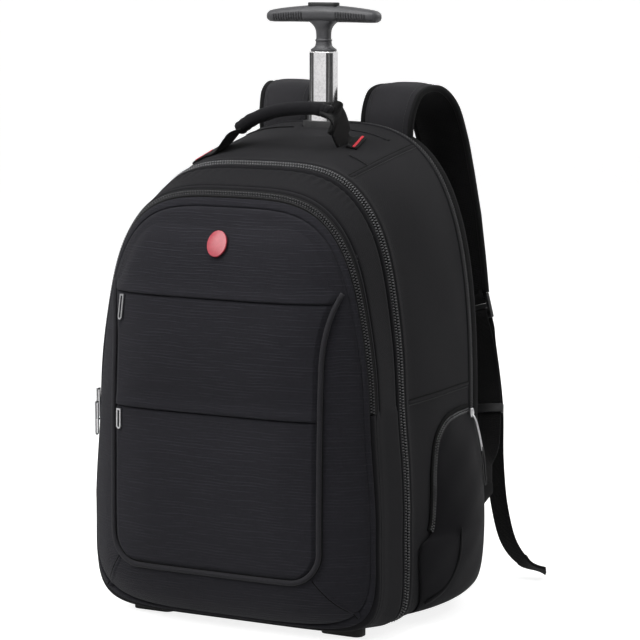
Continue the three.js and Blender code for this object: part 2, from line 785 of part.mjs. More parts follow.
// A flat puller with a long hole, drawn upright and hanging from its top.
function pullShape(length) {
  const width = pull.width;
  const shape = new THREE.Shape();
  shape.moveTo(-width / 2, 0);
  shape.lineTo(-width / 2, -length + width / 2);
  shape.absarc(0, -length + width / 2, width / 2, Math.PI, 2 * Math.PI);
  shape.lineTo(width / 2, 0);
  const hole = new THREE.Path();
  const bar = width * 0.28;
  hole.moveTo(-width / 2 + bar, -bar);
  hole.lineTo(-width / 2 + bar, -length + width / 2);
  hole.absarc(0, -length + width / 2, width / 2 - bar, Math.PI, 2 * Math.PI);
  hole.lineTo(width / 2 - bar, -bar);
  shape.holes.push(hole);
  return shape;
}

function flatPull(length) {
  const depth = pull.thickness;
  return new THREE.ExtrudeGeometry(pullShape(length), { depth, bevelEnabled: false, curveSegments: 4 });
}

function addPulls() {
  const inner = pullInset - pocketWidth / 2;
  for (const seam of ['upper', 'lower']) {
    const hung = onFront(flatPull(pull[seam]), inner, seamHeights[seam] - pullDrop, overPanel);
    add(`pocket_pull_${seam}`, hung, metals.pull);
  }
  const middles = { front: (frontZipper.back + frontZipper.front) / 2, main: -mainDepth };
  const edge = pull.width / 2;
  for (const { name, zipper, drop, length, forward, proud } of sidePulls) {
    const y = middles[zipper] - forward;
    const z = seamHeights.upper - drop;
    const x = Math.max(sideWall(y + edge, z), sideWall(y + edge, z - length)) + proud + clearance;
    const upright = flatPull(length).rotateX(Math.PI / 2).rotateZ(-Math.PI / 2);
    add(name, closed(upright.translate(-x, y, z)), metals.pull);
  }
}

// Grab handle

function addGrabHandle() {
  const surface = outlineAt(grip.place).high;
  const apex = surface + grip.rise + grip.radius;
  const count = 9;
  const sections = [];
  for (let i = 0; i < count; i++) {
    const place = between(-1, 1, i / (count - 1));
    const fat = i === 0 || i === count - 1 ? 0.55 : 1;
    const centre = point(place * grip.length / 2, grip.place, apex - 13 * place ** 2);
    const slope = -26 * place / (grip.length / 2);
    const up = point(-slope, 0, 1).normalize().multiplyScalar(grip.radius * fat);
    sections.push(oval(centre, point(0, grip.radius * fat, 0), up, 10, 2));
  }
  add('grab_handle_grip', loft(sections), cloths.body);
  const end = point(grip.length / 2, grip.place, apex - 13);
  const path = [
    point(end.x + clearance + 0.2, grip.place, end.z - 0.4),
    point(end.x + 10, grip.place, end.z - 7),
    point(gripWebbing.spread / 2 - 3, grip.place, surface + 8),
    point(gripWebbing.spread / 2 + 4, grip.place, surface - 14),
  ];
  const { width, thickness } = gripWebbing;
  const ribbon = sweep(path, { width, thickness, sides: [level(90)], count: 7 });
  const tab = cut(ribbon, bodyEnvelope);
  add('handle_webbing_right', tab, cloths.webbing);
  add('handle_webbing_left', mirrored(tab), cloths.webbing);
}

// Level direction at an angle from X towards Y, in degrees.
function level(degrees) {
  const angle = THREE.MathUtils.degToRad(degrees);
  return point(Math.cos(angle), Math.sin(angle), 0);
}

// Carries a flat section along a smooth path. Sides hold the direction of its width, and wide and
// thick hold shares of its section, all at even steps.
function sweep(path, { width, thickness, sides, wide = [1], thick = [1], count, padded = false }) {
  const curve = new THREE.CatmullRomCurve3(path, false, 'centripetal');
  const sections = [];
  for (let i = 0; i < count; i++) {
    const share = i / (count - 1);
    const centre = curve.getPoint(share);
    const along = curve.getTangent(share);
    const across = sideAt(sides, share);
    across.addScaledVector(along, -across.dot(along)).setLength(width / 2 * atShare(wide, share));
    const up = across.clone().cross(along).setLength(thickness / 2 * atShare(thick, share));
    const section = padded ? oval(centre, across, up, 12, 3) : flatSection(centre, across, up);
    sections.push(section);
  }
  return loft(sections);
}

function flatSection(centre, across, up) {
  const corners = [[1, 1], [-1, 1], [-1, -1], [1, -1]];
  return corners.map(([a, b]) => centre.clone().addScaledVector(across, a).addScaledVector(up, b));
}

function sideAt(sides, share) {
  const place = share * (sides.length - 1);
  const i = Math.max(0, Math.min(Math.floor(place), sides.length - 2));
  return sides[i].clone().lerp(sides[Math.min(i + 1, sides.length - 1)], place - i);
}

function atShare(values, share) {
  const place = share * (values.length - 1);
  const i = Math.min(Math.floor(place), values.length - 2);
  return values.length === 1 ? values[0] : between(values[i], values[i + 1], place - i);
}

// Shoulder straps, buckles and webbing of the right side

const strapTop = backTop + strap.rise;
const strapEnd = strapPoint(strapRows.at(-1));

function strapPoint(row) {
  return point(strap.spread / 2 + row.out * strap.splay, row.back * strap.reach, strapTop - row.down * strap.drop);
}

function webbingPoint(row) {
  return point(row.out * bodyWidth / 2, row.back * strap.reach, row.up * strapEnd.z);
}

function buckleFrame() {
  const down = strapEnd.clone().sub(strapPoint(strapRows.at(-2))).normalize();
  const across = level(-15);
  across.addScaledVector(down, -across.dot(down)).normalize();
  const outward = across.clone().cross(down).negate();
  const centre = strapEnd.clone().addScaledVector(down, clearance + buckle.height / 2);
  return { centre, across, down, outward: outward.y < 0 ? outward.negate() : outward };
}

function bucklePoint(frame, out, down) {
  return frame.centre.clone().addScaledVector(frame.outward, out).addScaledVector(frame.down, down);
}

function addBuckle(frame) {
  const shape = new THREE.Shape();
  const half = { x: buckle.width / 2, y: buckle.height / 2 };
  shape.moveTo(-half.x, -half.y).lineTo(half.x, -half.y).lineTo(half.x, half.y).lineTo(-half.x, half.y);
  const open = webbing.width / 2 + clearance;
  for (const low of [-half.y + buckle.bar, half.y - buckle.bar - buckle.slot]) {
    const slot = new THREE.Path();
    slot.moveTo(-open, low).lineTo(open, low).lineTo(open, low + buckle.slot).lineTo(-open, low + buckle.slot);
    shape.holes.push(slot);
  }
  const plate = new THREE.ExtrudeGeometry(shape, { depth: buckle.thickness, bevelEnabled: false });
  plate.translate(0, 0, -buckle.thickness / 2);
  const place = new THREE.Matrix4().makeBasis(frame.across, frame.down, frame.outward);
  place.setPosition(frame.centre);
  const solid = closed(plate.applyMatrix4(place));
  add('ladder_lock_right', solid, plastics.black);
  add('ladder_lock_left', mirrored(solid), plastics.black);
}

function addStraps() {
  const path = strapRows.map(strapPoint);
  const padded = sweep(path, {
    width: strap.width,
    thickness: strap.thickness,
    sides: [0, 0, -5, -10, -15].map(level),
    wide: strapRows.map((row) => row.wide),
    thick: strapRows.map((row) => row.thick),
    count: 18,
    padded: true,
  });
  const solid = cut(padded, backEnvelope);
  add('shoulder_strap_right', solid, cloths.body);
  add('shoulder_strap_left', mirrored(solid), cloths.body);

  const frame = buckleFrame();
  addBuckle(frame);

  const lowerBar = buckle.height / 2 - buckle.bar;
  const side = buckle.thickness / 2 + webbing.thickness / 2 + clearance;
  const turnRound = [
    bucklePoint(frame, -side, buckle.height / 2 + 2),
    bucklePoint(frame, -side, lowerBar),
    bucklePoint(frame, 0, lowerBar - 2.6),
    bucklePoint(frame, side, lowerBar),
    bucklePoint(frame, side, buckle.height / 2 + 2),
  ];
  const lower = lowerWebbingRows.map(webbingPoint);
  const tail = tailRows.map(webbingPoint);
  const ribbonPath = [...lower, ...turnRound, ...tail];
  const sides = [
    ...lowerWebbingRows.map((row) => level(row.turn)),
    ...turnRound.map(() => frame.across),
    ...tailRows.map((row) => level(row.turn)),
  ];
  const count = 3 * ribbonPath.length - 2;
  const ribbon = sweep(ribbonPath, { width: webbing.width, thickness: webbing.thickness, sides, count });
  add('strap_webbing_right', ribbon, cloths.webbing);
  add('strap_webbing_left', mirrored(ribbon), cloths.webbing);
  addAnchor(lower[0]);
  addKeeper(ribbonPath, sides);
}

// A plastic loop that slides on the lower webbing, and follows its path.
function addKeeper(ribbonPath, sides) {
  const curve = new THREE.CatmullRomCurve3(ribbonPath, false, 'centripetal');
  const share = keeper.row / (ribbonPath.length - 1);
  const centre = curve.getPoint(share);
  const along = curve.getTangent(share);
  const bar = (length, width, thickness) => sweep(
    [-length / 2, length / 2].map((reach) => centre.clone().addScaledVector(along, reach)),
    { width, thickness, sides: [sideAt(sides, share)], count: 2 },
  );
  const hole = { width: webbing.width + 2 * clearance, thickness: webbing.thickness + 3 * clearance };
  const outer = bar(keeper.height, hole.width + 2 * keeper.wall, hole.thickness + 2 * keeper.wall);
  const loop = cut(outer, bar(2 * keeper.height, hole.width, hole.thickness));
  add('webbing_keeper_right', loop, plastics.black);
  add('webbing_keeper_left', mirrored(loop), plastics.black);
}

// A cloth tab that stands out from the back's side edge, under the lower end of the webbing.
function addAnchor(end) {
  const along = level(lowerWebbingRows[0].turn);
  const half = webbing.width / 2;
  const root = backFront + 2 - end.y;
  const top = -clearance - 0.6;
  const shape = new THREE.Shape();
  shape.moveTo(root, -anchor.height * 1.3);
  shape.lineTo(half, -anchor.height * 0.4);
  shape.lineTo(half, top);
  shape.lineTo(-half, top);
  shape.lineTo(root, top);
  const plate = new THREE.ExtrudeGeometry(shape, { depth: anchor.thickness, bevelEnabled: false });
  plate.translate(0, 0, -anchor.thickness / 2);
  const up = point(0, 0, 1);
  const place = new THREE.Matrix4().makeBasis(along, up, along.clone().cross(up)).setPosition(end);
  const tab = cut(plate.applyMatrix4(place), backEnvelope, bodyEnvelope);
  add('anchor_tab_right', tab, cloths.webbing);
  add('anchor_tab_left', mirrored(tab), cloths.webbing);
}

// Side pockets

function sidePocketX(y, z, back, front, top) {
  const across = (back - y) / (back - front);
  const up = z / top;
  const swellAcross = Math.sin(Math.PI * Math.min(1, 0.22 + 0.78 * across));
  const swellUp = Math.sin(Math.PI * Math.min(1, 0.1 + 0.9 * up));
  const swell = swellAcross * swellUp;
  return sideWall(y, z) + clearance + sidePocket.bulge * Math.max(0, swell) ** 0.75;
}

function addSidePockets() {
  const back = backZipper.front - 2 * clearance;
  const across = 6;
  const edge = sidePocketRows.map((row) => ({ z: row.up * sidePocket.top, y: -row.front * sidePocket.depth }));
  const sections = edge.map(({ z, y: front }) => {
    const places = evenly(back, front, across);
    const outer = places.map((y) => point(sidePocketX(y, z, back, front, sidePocket.top) + cloth, y, z));
    const inner = places.reverse().map((y) => point(sidePocketX(y, z, back, front, sidePocket.top), y, z));
    return [...outer, ...inner];
  });
  const shell = cut(loft(sections), bodyEnvelope);
  add('side_pocket_right', shell, cloths.body);
  add('side_pocket_left', mirrored(shell), cloths.body);

  const curve = edge.slice(3);
  const strip = curve.map(({ y, z }, i) => {
    const before = curve[Math.max(0, i - 1)];
    const after = curve[Math.min(curve.length - 1, i + 1)];
    const along = new THREE.Vector2(after.y - before.y, after.z - before.z).normalize();
    const away = new THREE.Vector2(-along.y, along.x);
    const spot = (distance, lift) => {
      const yy = y + away.x * distance;
      const zz = z + away.y * distance;
      return point(sideWall(yy, zz) + lift, yy, zz);
    };
    const near = clearance;
    const far = clearance + zipperWidth;
    const under = clearance + 0.4;
    const over = clearance + 2;
    return [spot(near, under), spot(far, under), spot(far, over), spot(near, over)];
  });
  const zipper = cut(loft(strip), bodyEnvelope);
  add('side_pocket_zipper_right', zipper, cloths.trim);
  add('side_pocket_zipper_left', mirrored(zipper), cloths.trim);
}

// Chassis, wheels and feet

function chassisBlock(grow) {
  const half = bodyWidth / 2 - chassis.inset + grow;
  return block([-half, half], [-chassis.front - grow, backFace + 10], [underside - 10, chassis.height + grow]);
}

function addChassis() {
  const half = bodyWidth / 2 - chassis.inset;
  const tray = block([-half, half], [-chassis.front, backFront + 3], [underside, chassis.height]);
  const rear = common(
    outlineSolid(backRows(0)),
    block([-bodyWidth, bodyWidth], [0, 2 * backFace], [0, chassis.height]),
  );
  const bay = wheel.width / 2 + wheel.clear;
  const tools = [];
  for (const side of [-1, 1]) {
    const x = side * wheelPlace;
    const reach = wheel.radius + wheel.clear;
    tools.push(block([x - bay, x + bay], [wheel.y - reach, 2 * backFace], [-1, wheel.radius + reach]));
    const bore = axleRadius + clearance;
    tools.push(crossCylinder(bore, bay + axleSeat + clearance, 16).translate(x, wheel.y, wheel.radius));
    const inner = wheelPlace - bay - chassis.wall;
    const near = pole.width / 2 + chassis.wall;
    const span = side > 0 ? [near, inner] : [-inner, -near];
    const deep = [-chassis.front + chassis.wall, backFace - chassis.wall];
    tools.push(block(span, deep, [underside + chassis.wall, 2 * chassis.height]));
  }
  tools.push(poleBlock(tubeSize(0), clearance, outerTube.foot - clearance, chassis.height + 10));
  add('wheel_chassis', cut(join(tray, rear), ...tools), plastics.black);
}

function crossCylinder(radius, halfLength, sides) {
  return new THREE.CylinderGeometry(radius, radius, 2 * halfLength, sides).rotateZ(Math.PI / 2);
}

function addWheels() {
  const half = wheel.width / 2;
  const tyreProfile = [
    [wheel.hubRadius + clearance, -half + 2], [wheel.radius - 5, -half], [wheel.radius - 1.5, -half + 3],
    [wheel.radius, 0],
    [wheel.radius - 1.5, half - 3], [wheel.radius - 5, half], [wheel.hubRadius + clearance, half - 2],
  ];
  tyreProfile.push(tyreProfile[0]);
  const hubProfile = [
    [axleRadius + clearance, -half], [axleRadius + 5, -half], [axleRadius + 6, -half + 4],
    [wheel.hubRadius - 3, -half + 4], [wheel.hubRadius, -half + 2.5],
    [wheel.hubRadius, half - 2.5], [wheel.hubRadius - 3, half - 4],
    [axleRadius + 6, half - 4], [axleRadius + 5, half], [axleRadius + clearance, half],
  ];
  hubProfile.push(hubProfile[0]);
  for (const [name, side] of [['left', -1], ['right', 1]]) {
    const x = side * wheelPlace;
    const turned = (profile, sides) => {
      const points = profile.map(([radius, height]) => new THREE.Vector2(radius, height));
      const ring = new THREE.LatheGeometry(points, sides).rotateZ(Math.PI / 2);
      return closed(ring.translate(x, wheel.y, wheel.radius));
    };
    add(`tyre_${name}`, turned(tyreProfile, 20), plastics.black);
    add(`wheel_hub_${name}`, turned(hubProfile, 12), plastics.grey);
    const axle = crossCylinder(axleRadius, half + wheel.clear + axleSeat, 16);
    add(`axle_${name}`, closed(axle.translate(x, wheel.y, wheel.radius)), metals.pull);
  }
}

function addFeet() {
  for (const [name, side] of [['left', -1], ['right', 1]]) {
    const shape = roundedSection(foot.length, foot.width, foot.width / 2 - 2);
    const depth = underside + 10;
    const pad = new THREE.ExtrudeGeometry(shape, { depth, bevelEnabled: false, curveSegments: 3 });
    pad.translate(side * (bodyWidth / 2 - foot.inset), foot.y, 0);
    add(`foot_${name}`, cut(pad, bodyEnvelope), plastics.black);
  }
}

addBody();
addFrontPanel();
addPocketPanels();
addPiping();
addBadge();
addPulls();
addSidePockets();
addGrabHandle();
addStraps();
addPoleSocket();
addTubes();
addHandle();
addChassis();
addWheels();
addFeet();

// The part's origin is the middle of its extent on the floor.
const extent = new THREE.Box3().setFromObject(pack);
const group = new THREE.Group();
group.add(pack);
pack.position.set(-(extent.min.x + extent.max.x) / 2, -(extent.min.y + extent.max.y) / 2, -extent.min.z);

export default group;
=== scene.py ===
"""A black wheeled backpack with a telescoping T handle, dressed around its CAD frame.

Sizes here are in millimetres in the bag's own frame: X across, -Y out of the front, Z up, and Y = 0 at
the edge where the sides meet the back. `placed` turns them into the frame's metres.
"""

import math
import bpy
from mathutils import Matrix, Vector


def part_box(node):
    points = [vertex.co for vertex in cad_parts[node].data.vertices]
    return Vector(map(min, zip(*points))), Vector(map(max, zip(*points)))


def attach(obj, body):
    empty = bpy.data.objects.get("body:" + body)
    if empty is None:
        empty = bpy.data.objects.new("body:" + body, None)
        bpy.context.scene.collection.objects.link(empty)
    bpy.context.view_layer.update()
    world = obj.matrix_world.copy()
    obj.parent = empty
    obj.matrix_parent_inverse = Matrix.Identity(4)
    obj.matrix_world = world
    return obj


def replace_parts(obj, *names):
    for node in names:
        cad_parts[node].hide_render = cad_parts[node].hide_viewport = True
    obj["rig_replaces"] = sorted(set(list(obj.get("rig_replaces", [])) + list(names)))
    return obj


bl_info = {
    "name": "Wheeled Backpack",
    "version": (1, 0, 0),
    "blender": (4, 5, 0),
    "location": "View3D > Sidebar > Backpack",
    "description": "Cloth, trim, straps and hardware of a wheeled backpack",
    "category": "Object",
}

import bmesh
import bpy
import numpy as np

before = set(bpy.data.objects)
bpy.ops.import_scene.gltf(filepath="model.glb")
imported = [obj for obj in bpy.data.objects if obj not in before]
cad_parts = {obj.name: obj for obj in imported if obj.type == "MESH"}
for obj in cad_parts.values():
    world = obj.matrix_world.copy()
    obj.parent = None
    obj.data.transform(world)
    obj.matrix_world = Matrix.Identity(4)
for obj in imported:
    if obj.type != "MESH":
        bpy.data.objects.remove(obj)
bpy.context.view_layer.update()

MM = 0.001
TAU = 2 * math.pi
POLE_DEPTH = -11.0  # Y of the telescoping tubes
TUBE_LOW, TUBE_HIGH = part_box("outer_tube")
BACK_EDGE = (TUBE_LOW[1] + TUBE_HIGH[1]) / 2 - POLE_DEPTH * MM

# Body
BODY_WIDTH = 318
BODY_HEIGHT = 475
UNDERSIDE = 6
MAIN_DEPTH = 140
FRONT_DEPTH = 64
FRONT_EDGE = -MAIN_DEPTH - FRONT_DEPTH
FRONT_BULGE = 36
FRONT_ROUNDNESS = 1.3
SIDE_PUFF = 2.5
WAIST = 0.24
TURN_WEIGHT = 60
BACK_FRONT = 8.6
BACK_PAD = 17.5

MAIN_ZIP = -MAIN_DEPTH
FRONT_ZIP = -195.7
BACK_ZIP = 5.3
ARCH_FOOT = 222  # height where the front zipper ends
CHASSIS = {"half": 138, "front": -38, "top": 66}

# Outlines of the body from its back edge to its front face, as in the CAD model: main and front are
# shares of the two depths, wide is of half the width, and top and floor are of the height.
OUTLINES = {
    "main": (0, 1, 1, 1),
    "front": (0, 0, 0.87, 1),
    "wide": (1, 1, 0.985, 0.962),
    "top": (1, 0.933, 0.882, 0.855),
    "taper": (-0.02, 0.105, 0.11, 0.13),
    "side": (3.36, 3.85, 3.8, 4.2),
    "crown": (3.35, 4.44, 4.5, 4.4),
    "floor": (0, 0, 0.004, 0.014),
    "corner": (9, 10, 7, 5),
}

# Front pocket
POCKET_WIDTH = 226
POCKET_BOTTOM = 62
POCKET_CORNER = 30
POCKET_FLARE = {"start": 268, "radius": 210}
SEAM_LOW, SEAM_HIGH = 217, 327
PIPING_TOP = SEAM_HIGH + 9

# Path of a shoulder strap, as in the CAD model: out, back and down are shares of its splay, reach and
# drop, and wide and thick of its own section.
STRAP = {"width": 60, "thickness": 12, "spread": 118, "rise": 33, "reach": 98, "drop": 214, "splay": 62}
STRAP_ROWS = np.array([
    # out, back, down, wide, thick
    (0, 0.155, 0.27, 0.9, 0.9),
    (0, 0.16, 0.13, 0.96, 1),
    (0.03, 0.27, 0.03, 1, 1),
    (0.08, 0.45, 0, 1, 1),
    (0.17, 0.67, 0.015, 1, 1),
    (0.27, 0.85, 0.09, 1, 1),
    (0.38, 0.95, 0.24, 1, 1),
    (0.5, 0.99, 0.43, 1, 1),
    (0.67, 1, 0.64, 0.92, 0.95),
    (0.84, 1, 0.83, 0.74, 0.85),
    (1, 0.985, 1, 0.56, 0.7),
])
LOWER_ROWS = np.array([
    # out, back, up, turn
    (0.985, 0.46, 0.38, 80),
    (0.985, 0.46, 0.45, 80),
    (0.96, 0.62, 0.55, 20),
    (0.9, 0.83, 0.7, 10),
    (0.83, 0.93, 0.86, -15),
])
TAIL_ROWS = np.array([
    # out, back, up, turn
    (0.81, 1.09, 0.84, -15),
    (0.86, 1.13, 0.62, -20),
    (0.87, 1.13, 0.42, -20),
    (0.9, 1.15, 0.25, -20),
    (0.965, 1.19, 0.12, -20),
    (1.06, 1.23, 0.06, -20),
    (1.2, 1.27, 0.032, -20),
])
WEBBING = {"width": 25, "thickness": 1.6}
BUCKLE = {"height": 26, "bar": 4.5, "thickness": 4.5}

# Side pocket's front edge: up is a share of its top, and front of its depth.
POCKET = {"bulge": 21, "top": 198, "depth": 117}
POCKET_EDGE = np.array([
    # up, front
    (0.05, 0.93),
    (0.2, 0.99),
    (0.4, 1),
    (0.46, 0.8),
    (0.62, 0.745),
    (0.78, 0.725),
    (0.91, 0.66),
    (0.98, 0.5),
    (1, 0.28),
])


# Settings

class ClothSettings(bpy.types.PropertyGroup):
    body_colour: bpy.props.FloatVectorProperty(
        name="Body", description="Colour of the plain body cloth", subtype="COLOR", size=4,
        min=0, max=1, default=(0.0072, 0.0070, 0.0084, 1))
    panel_colour: bpy.props.FloatVectorProperty(
        name="Front panels", description="Colour of the ribbed front cloth", subtype="COLOR", size=4,
        min=0, max=1, default=(0.0165, 0.0162, 0.0205, 1))
    # Lighter than the body cloth to paint in the light on the straps' tops: painted light.
    strap_lit_colour: bpy.props.FloatVectorProperty(
        name="Straps", description="Colour of the shoulder straps' cloth", subtype="COLOR", size=4,
        min=0, max=1, default=(0.0215, 0.0210, 0.0235, 1))
    cord_colour: bpy.props.FloatVectorProperty(
        name="Piping", description="Colour of the cord round the front pocket", subtype="COLOR", size=4,
        min=0, max=1, default=(0.0200, 0.0195, 0.0225, 1))
    trim_colour: bpy.props.FloatVectorProperty(
        name="Trim", description="Colour of binding, zipper tape and webbing", subtype="COLOR", size=4,
        min=0, max=1, default=(0.0055, 0.0055, 0.0058, 1))
    thickness: bpy.props.FloatProperty(
        name="Thickness", description="Thickness of the cloth walls", unit="LENGTH", default=0.002)
    thread: bpy.props.FloatProperty(
        name="Thread pitch", description="Distance between threads of the weave", unit="LENGTH",
        default=0.0007)
    rib: bpy.props.FloatProperty(
        name="Rib pitch", description="Distance between the ribs of the front cloth", unit="LENGTH",
        default=0.0029)
    slack: bpy.props.FloatProperty(
        name="Slack", description="Height of the soft waves in loose cloth", unit="LENGTH", default=0.0009)


class TrimSettings(bpy.types.PropertyGroup):
    tooth_pitch: bpy.props.FloatProperty(
        name="Tooth pitch", description="Distance between zipper teeth", unit="LENGTH", default=0.0028)
    stitch: bpy.props.FloatProperty(
        name="Stitch", description="Length of one stitch with its gap", unit="LENGTH", default=0.0034)
    piping: bpy.props.FloatProperty(
        name="Piping", description="Radius of the piping round the front pocket", unit="LENGTH",
        default=0.0023)
    badge_colour: bpy.props.FloatVectorProperty(
        name="Badge", description="Colour of the enamel badge", subtype="COLOR", size=4,
        min=0, max=1, default=(0.36, 0.022, 0.04, 1))
    tack_colour: bpy.props.FloatVectorProperty(
        name="Bar tack", description="Colour of the bar tack on the grab handle", subtype="COLOR", size=4,
        min=0, max=1, default=(0.60, 0.02, 0.035, 1))


class StageSettings(bpy.types.PropertyGroup):
    floor_colour: bpy.props.FloatVectorProperty(
        name="Floor", description="Colour of the floor and backdrop", subtype="COLOR", size=4,
        min=0, max=1, default=(0.5, 0.5, 0.5, 1))
    distance: bpy.props.FloatProperty(
        name="Camera distance", description="From the camera to the bag's middle", unit="LENGTH",
        default=2.75)
    azimuth: bpy.props.FloatProperty(
        name="Azimuth", description="Angle of the camera round the bag", subtype="ANGLE",
        default=math.radians(28))
    elevation: bpy.props.FloatProperty(
        name="Elevation", description="Angle of the camera above the bag", subtype="ANGLE",
        default=math.radians(8))
    lens: bpy.props.FloatProperty(
        name="Lens", description="Focal length of the camera", unit="CAMERA", default=151.9)


def cloth():
    return bpy.context.scene.bag_cloth


def trim():
    return bpy.context.scene.bag_trim


# Arrays

def blend(a, b, share):
    return a + (b - a) * share


def smooth(x):
    """Rises from 0 to 1 with level ends, as 3x^2 - 2x^3."""
    x = np.clip(x, 0, 1)
    return x * x * (3 - 2 * x)


def unit(v):
    return v / np.maximum(np.linalg.norm(v, axis=-1, keepdims=True), 1e-12)


def hump(x, centre, width):
    """A bell curve of height 1."""
    return np.exp(-(((x - centre) / width) ** 2))


def level(degrees):
    """Level directions at angles from X towards Y."""
    angle = np.radians(np.asarray(degrees, float))
    return np.stack([np.cos(angle), np.sin(angle), np.zeros_like(angle)], -1)


def lengths(path):
    steps = np.linalg.norm(np.diff(path, axis=0), axis=1)
    return np.concatenate([[0], np.cumsum(steps)])


def at_share(values, share):
    """Rows of a table read at shares of its length."""
    values = np.asarray(values, float)
    places = np.linspace(0, 1, len(values))
    columns = [np.interp(share, places, column) for column in values.reshape(len(values), -1).T]
    return np.stack(columns, -1).reshape(np.shape(share) + values.shape[1:])


def even(path, pitch, *fields):
    """Points at even steps along a path, and its other fields there."""
    along = lengths(path)
    count = max(2, int(round(along[-1] / pitch)))
    spots = (np.arange(count) + 0.5) * along[-1] / count
    read = lambda field: np.stack([np.interp(spots, along, column) for column in field.T], -1)
    return [read(field) for field in (path, *fields)]


def curve(points, share):
    """Centripetal Catmull-Rom curve through points, at shares of their number: on each stretch a cubic
    whose end tangents weigh the neighbouring steps by the square root of their lengths."""
    points = np.asarray(points, float)
    padded = np.vstack([2 * points[0] - points[1], points, 2 * points[-1] - points[-2]])
    place = np.clip(np.asarray(share, float), 0, 1) * (len(points) - 1)
    i = np.minimum(place.astype(int), len(points) - 2)
    w = (place - i)[:, None]
    p = [padded[i + k] for k in range(4)]
    d = [np.sqrt(np.linalg.norm(p[k + 1] - p[k], axis=1))[:, None] for k in range(3)]
    t1 = ((p[1] - p[0]) / d[0] - (p[2] - p[0]) / (d[0] + d[1]) + (p[2] - p[1]) / d[1]) * d[1]
    t2 = ((p[2] - p[1]) / d[1] - (p[3] - p[1]) / (d[1] + d[2]) + (p[3] - p[2]) / d[2]) * d[1]
    c2 = -3 * p[1] + 3 * p[2] - 2 * t1 - t2
    c3 = 2 * p[1] - 2 * p[2] + t1 + t2
    return p[1] + t1 * w + c2 * w ** 2 + c3 * w ** 3


def tangents(path):
    return unit(np.gradient(path, axis=0))


def ring(count, power=2.0, start=0.0):
    """A superellipse of radius 1 as rows of (across, up)."""
    angle = start + np.arange(count) * TAU / count
    c, s = np.cos(angle), np.sin(angle)
    return np.stack([np.sign(c) * np.abs(c) ** (2 / power), np.sign(s) * np.abs(s) ** (2 / power)], -1)


def carry(path, side, profile):
    """A profile of (across, up) carried along a path. Across is side made square to the path, and up is
    square to both."""
    along = tangents(path)
    across = unit(side - np.sum(side * along, -1, keepdims=True) * along)
    up = np.cross(along, across)
    profile = np.broadcast_to(profile, (len(path),) + np.shape(profile)[-2:])
    return path[:, None] + across[:, None] * profile[..., :1] + up[:, None] * profile[..., 1:]


# Names of the two sides, and what turns a right piece into each
SIDES = (("right", np.array((1, 1, 1))), ("left", np.array((-1, 1, 1))))


# Meshes

def placed(points):
    """The bag's millimetres turned into the frame's metres."""
    return np.asarray(points, float) * MM + (0, BACK_EDGE, 0)


def grid_faces(rows, columns, wrap_rows=False, wrap_columns=False, start=0):
    a, b = np.meshgrid(np.arange(rows - (not wrap_rows)), np.arange(columns - (not wrap_columns)),
                       indexing="ij")
    c, d = (a + 1) % rows, (b + 1) % columns
    corners = [a * columns + b, a * columns + d, c * columns + d, c * columns + b]
    return start + np.stack(corners, -1).reshape(-1, 4)


def grid_uv(points, wrap_rows, wrap_columns):
    """Corner coordinates of a grid's faces, in metres along its rows and columns."""
    rows, columns = points.shape[:2]
    if wrap_rows:
        points = np.concatenate([points, points[:1]], 0)
    if wrap_columns:
        points = np.concatenate([points, points[:, :1]], 1)
    u = np.zeros(points.shape[:2])
    v = np.zeros(points.shape[:2])
    u[1:] = np.cumsum(np.linalg.norm(np.diff(points, axis=0), axis=2), 0).mean(1, keepdims=True)
    v[:, 1:] = np.cumsum(np.linalg.norm(np.diff(points, axis=1), axis=2), 1)
    wide = columns + wrap_columns
    index = grid_faces(rows + wrap_rows, wide)
    return np.stack([v.ravel()[index], u.ravel()[index]], -1).reshape(-1, 2) * MM


def new_mesh(name, points, faces, uv=None):
    """A mesh from an array of points in millimetres and a list of face arrays."""
    mesh = bpy.data.meshes.new(name)
    points = placed(points).reshape(-1, 3)
    corners = np.concatenate([f.ravel() for f in faces]).astype(np.int32)
    sizes = np.concatenate([np.full(len(f), f.shape[1]) for f in faces])
    mesh.vertices.add(len(points))
    mesh.vertices.foreach_set("co", points.astype(np.float32).ravel())
    mesh.loops.add(len(corners))
    mesh.loops.foreach_set("vertex_index", corners)
    mesh.polygons.add(len(sizes))
    starts = np.concatenate([[0], np.cumsum(sizes)[:-1]]).astype(np.int32)
    mesh.polygons.foreach_set("loop_start", starts)
    mesh.update(calc_edges=True)
    if uv is not None:
        layer = mesh.uv_layers.new(name="cloth")
        layer.data.foreach_set("uv", uv.astype(np.float32).ravel())
    mesh.validate()
    mesh.polygons.foreach_set("use_smooth", np.ones(len(mesh.polygons), bool))
    return mesh


def finish(mesh, look, nodes=(), body="bag"):
    """Makes a mesh a piece of the bag that rides on a body and stands for CAD nodes."""
    piece = bpy.data.objects.new(mesh.name, mesh)
    bpy.context.scene.collection.objects.link(piece)
    for material in look if isinstance(look, (list, tuple)) else [look]:
        mesh.materials.append(material)
    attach(piece, body)
    if nodes:
        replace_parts(piece, *([nodes] if isinstance(nodes, str) else nodes))
    return piece


def turned_out(points, faces, inside=None):
    """Faces turned so that they point away from a point inside, or outwards on a closed surface, whose
    signed volume, the sum of a.(b x c), is then above zero."""
    flat = points.reshape(-1, 3) - (points.reshape(-1, 3).mean(0) if inside is None else inside)
    total = 0
    for group in faces:
        for k in range(1, group.shape[1] - 1):
            a, b, c = (flat[group[:, i]] for i in (0, k, k + 1))
            total += np.sum(a * np.cross(b, c))
    return ([f[:, ::-1] for f in faces], True) if total < 0 else (faces, False)


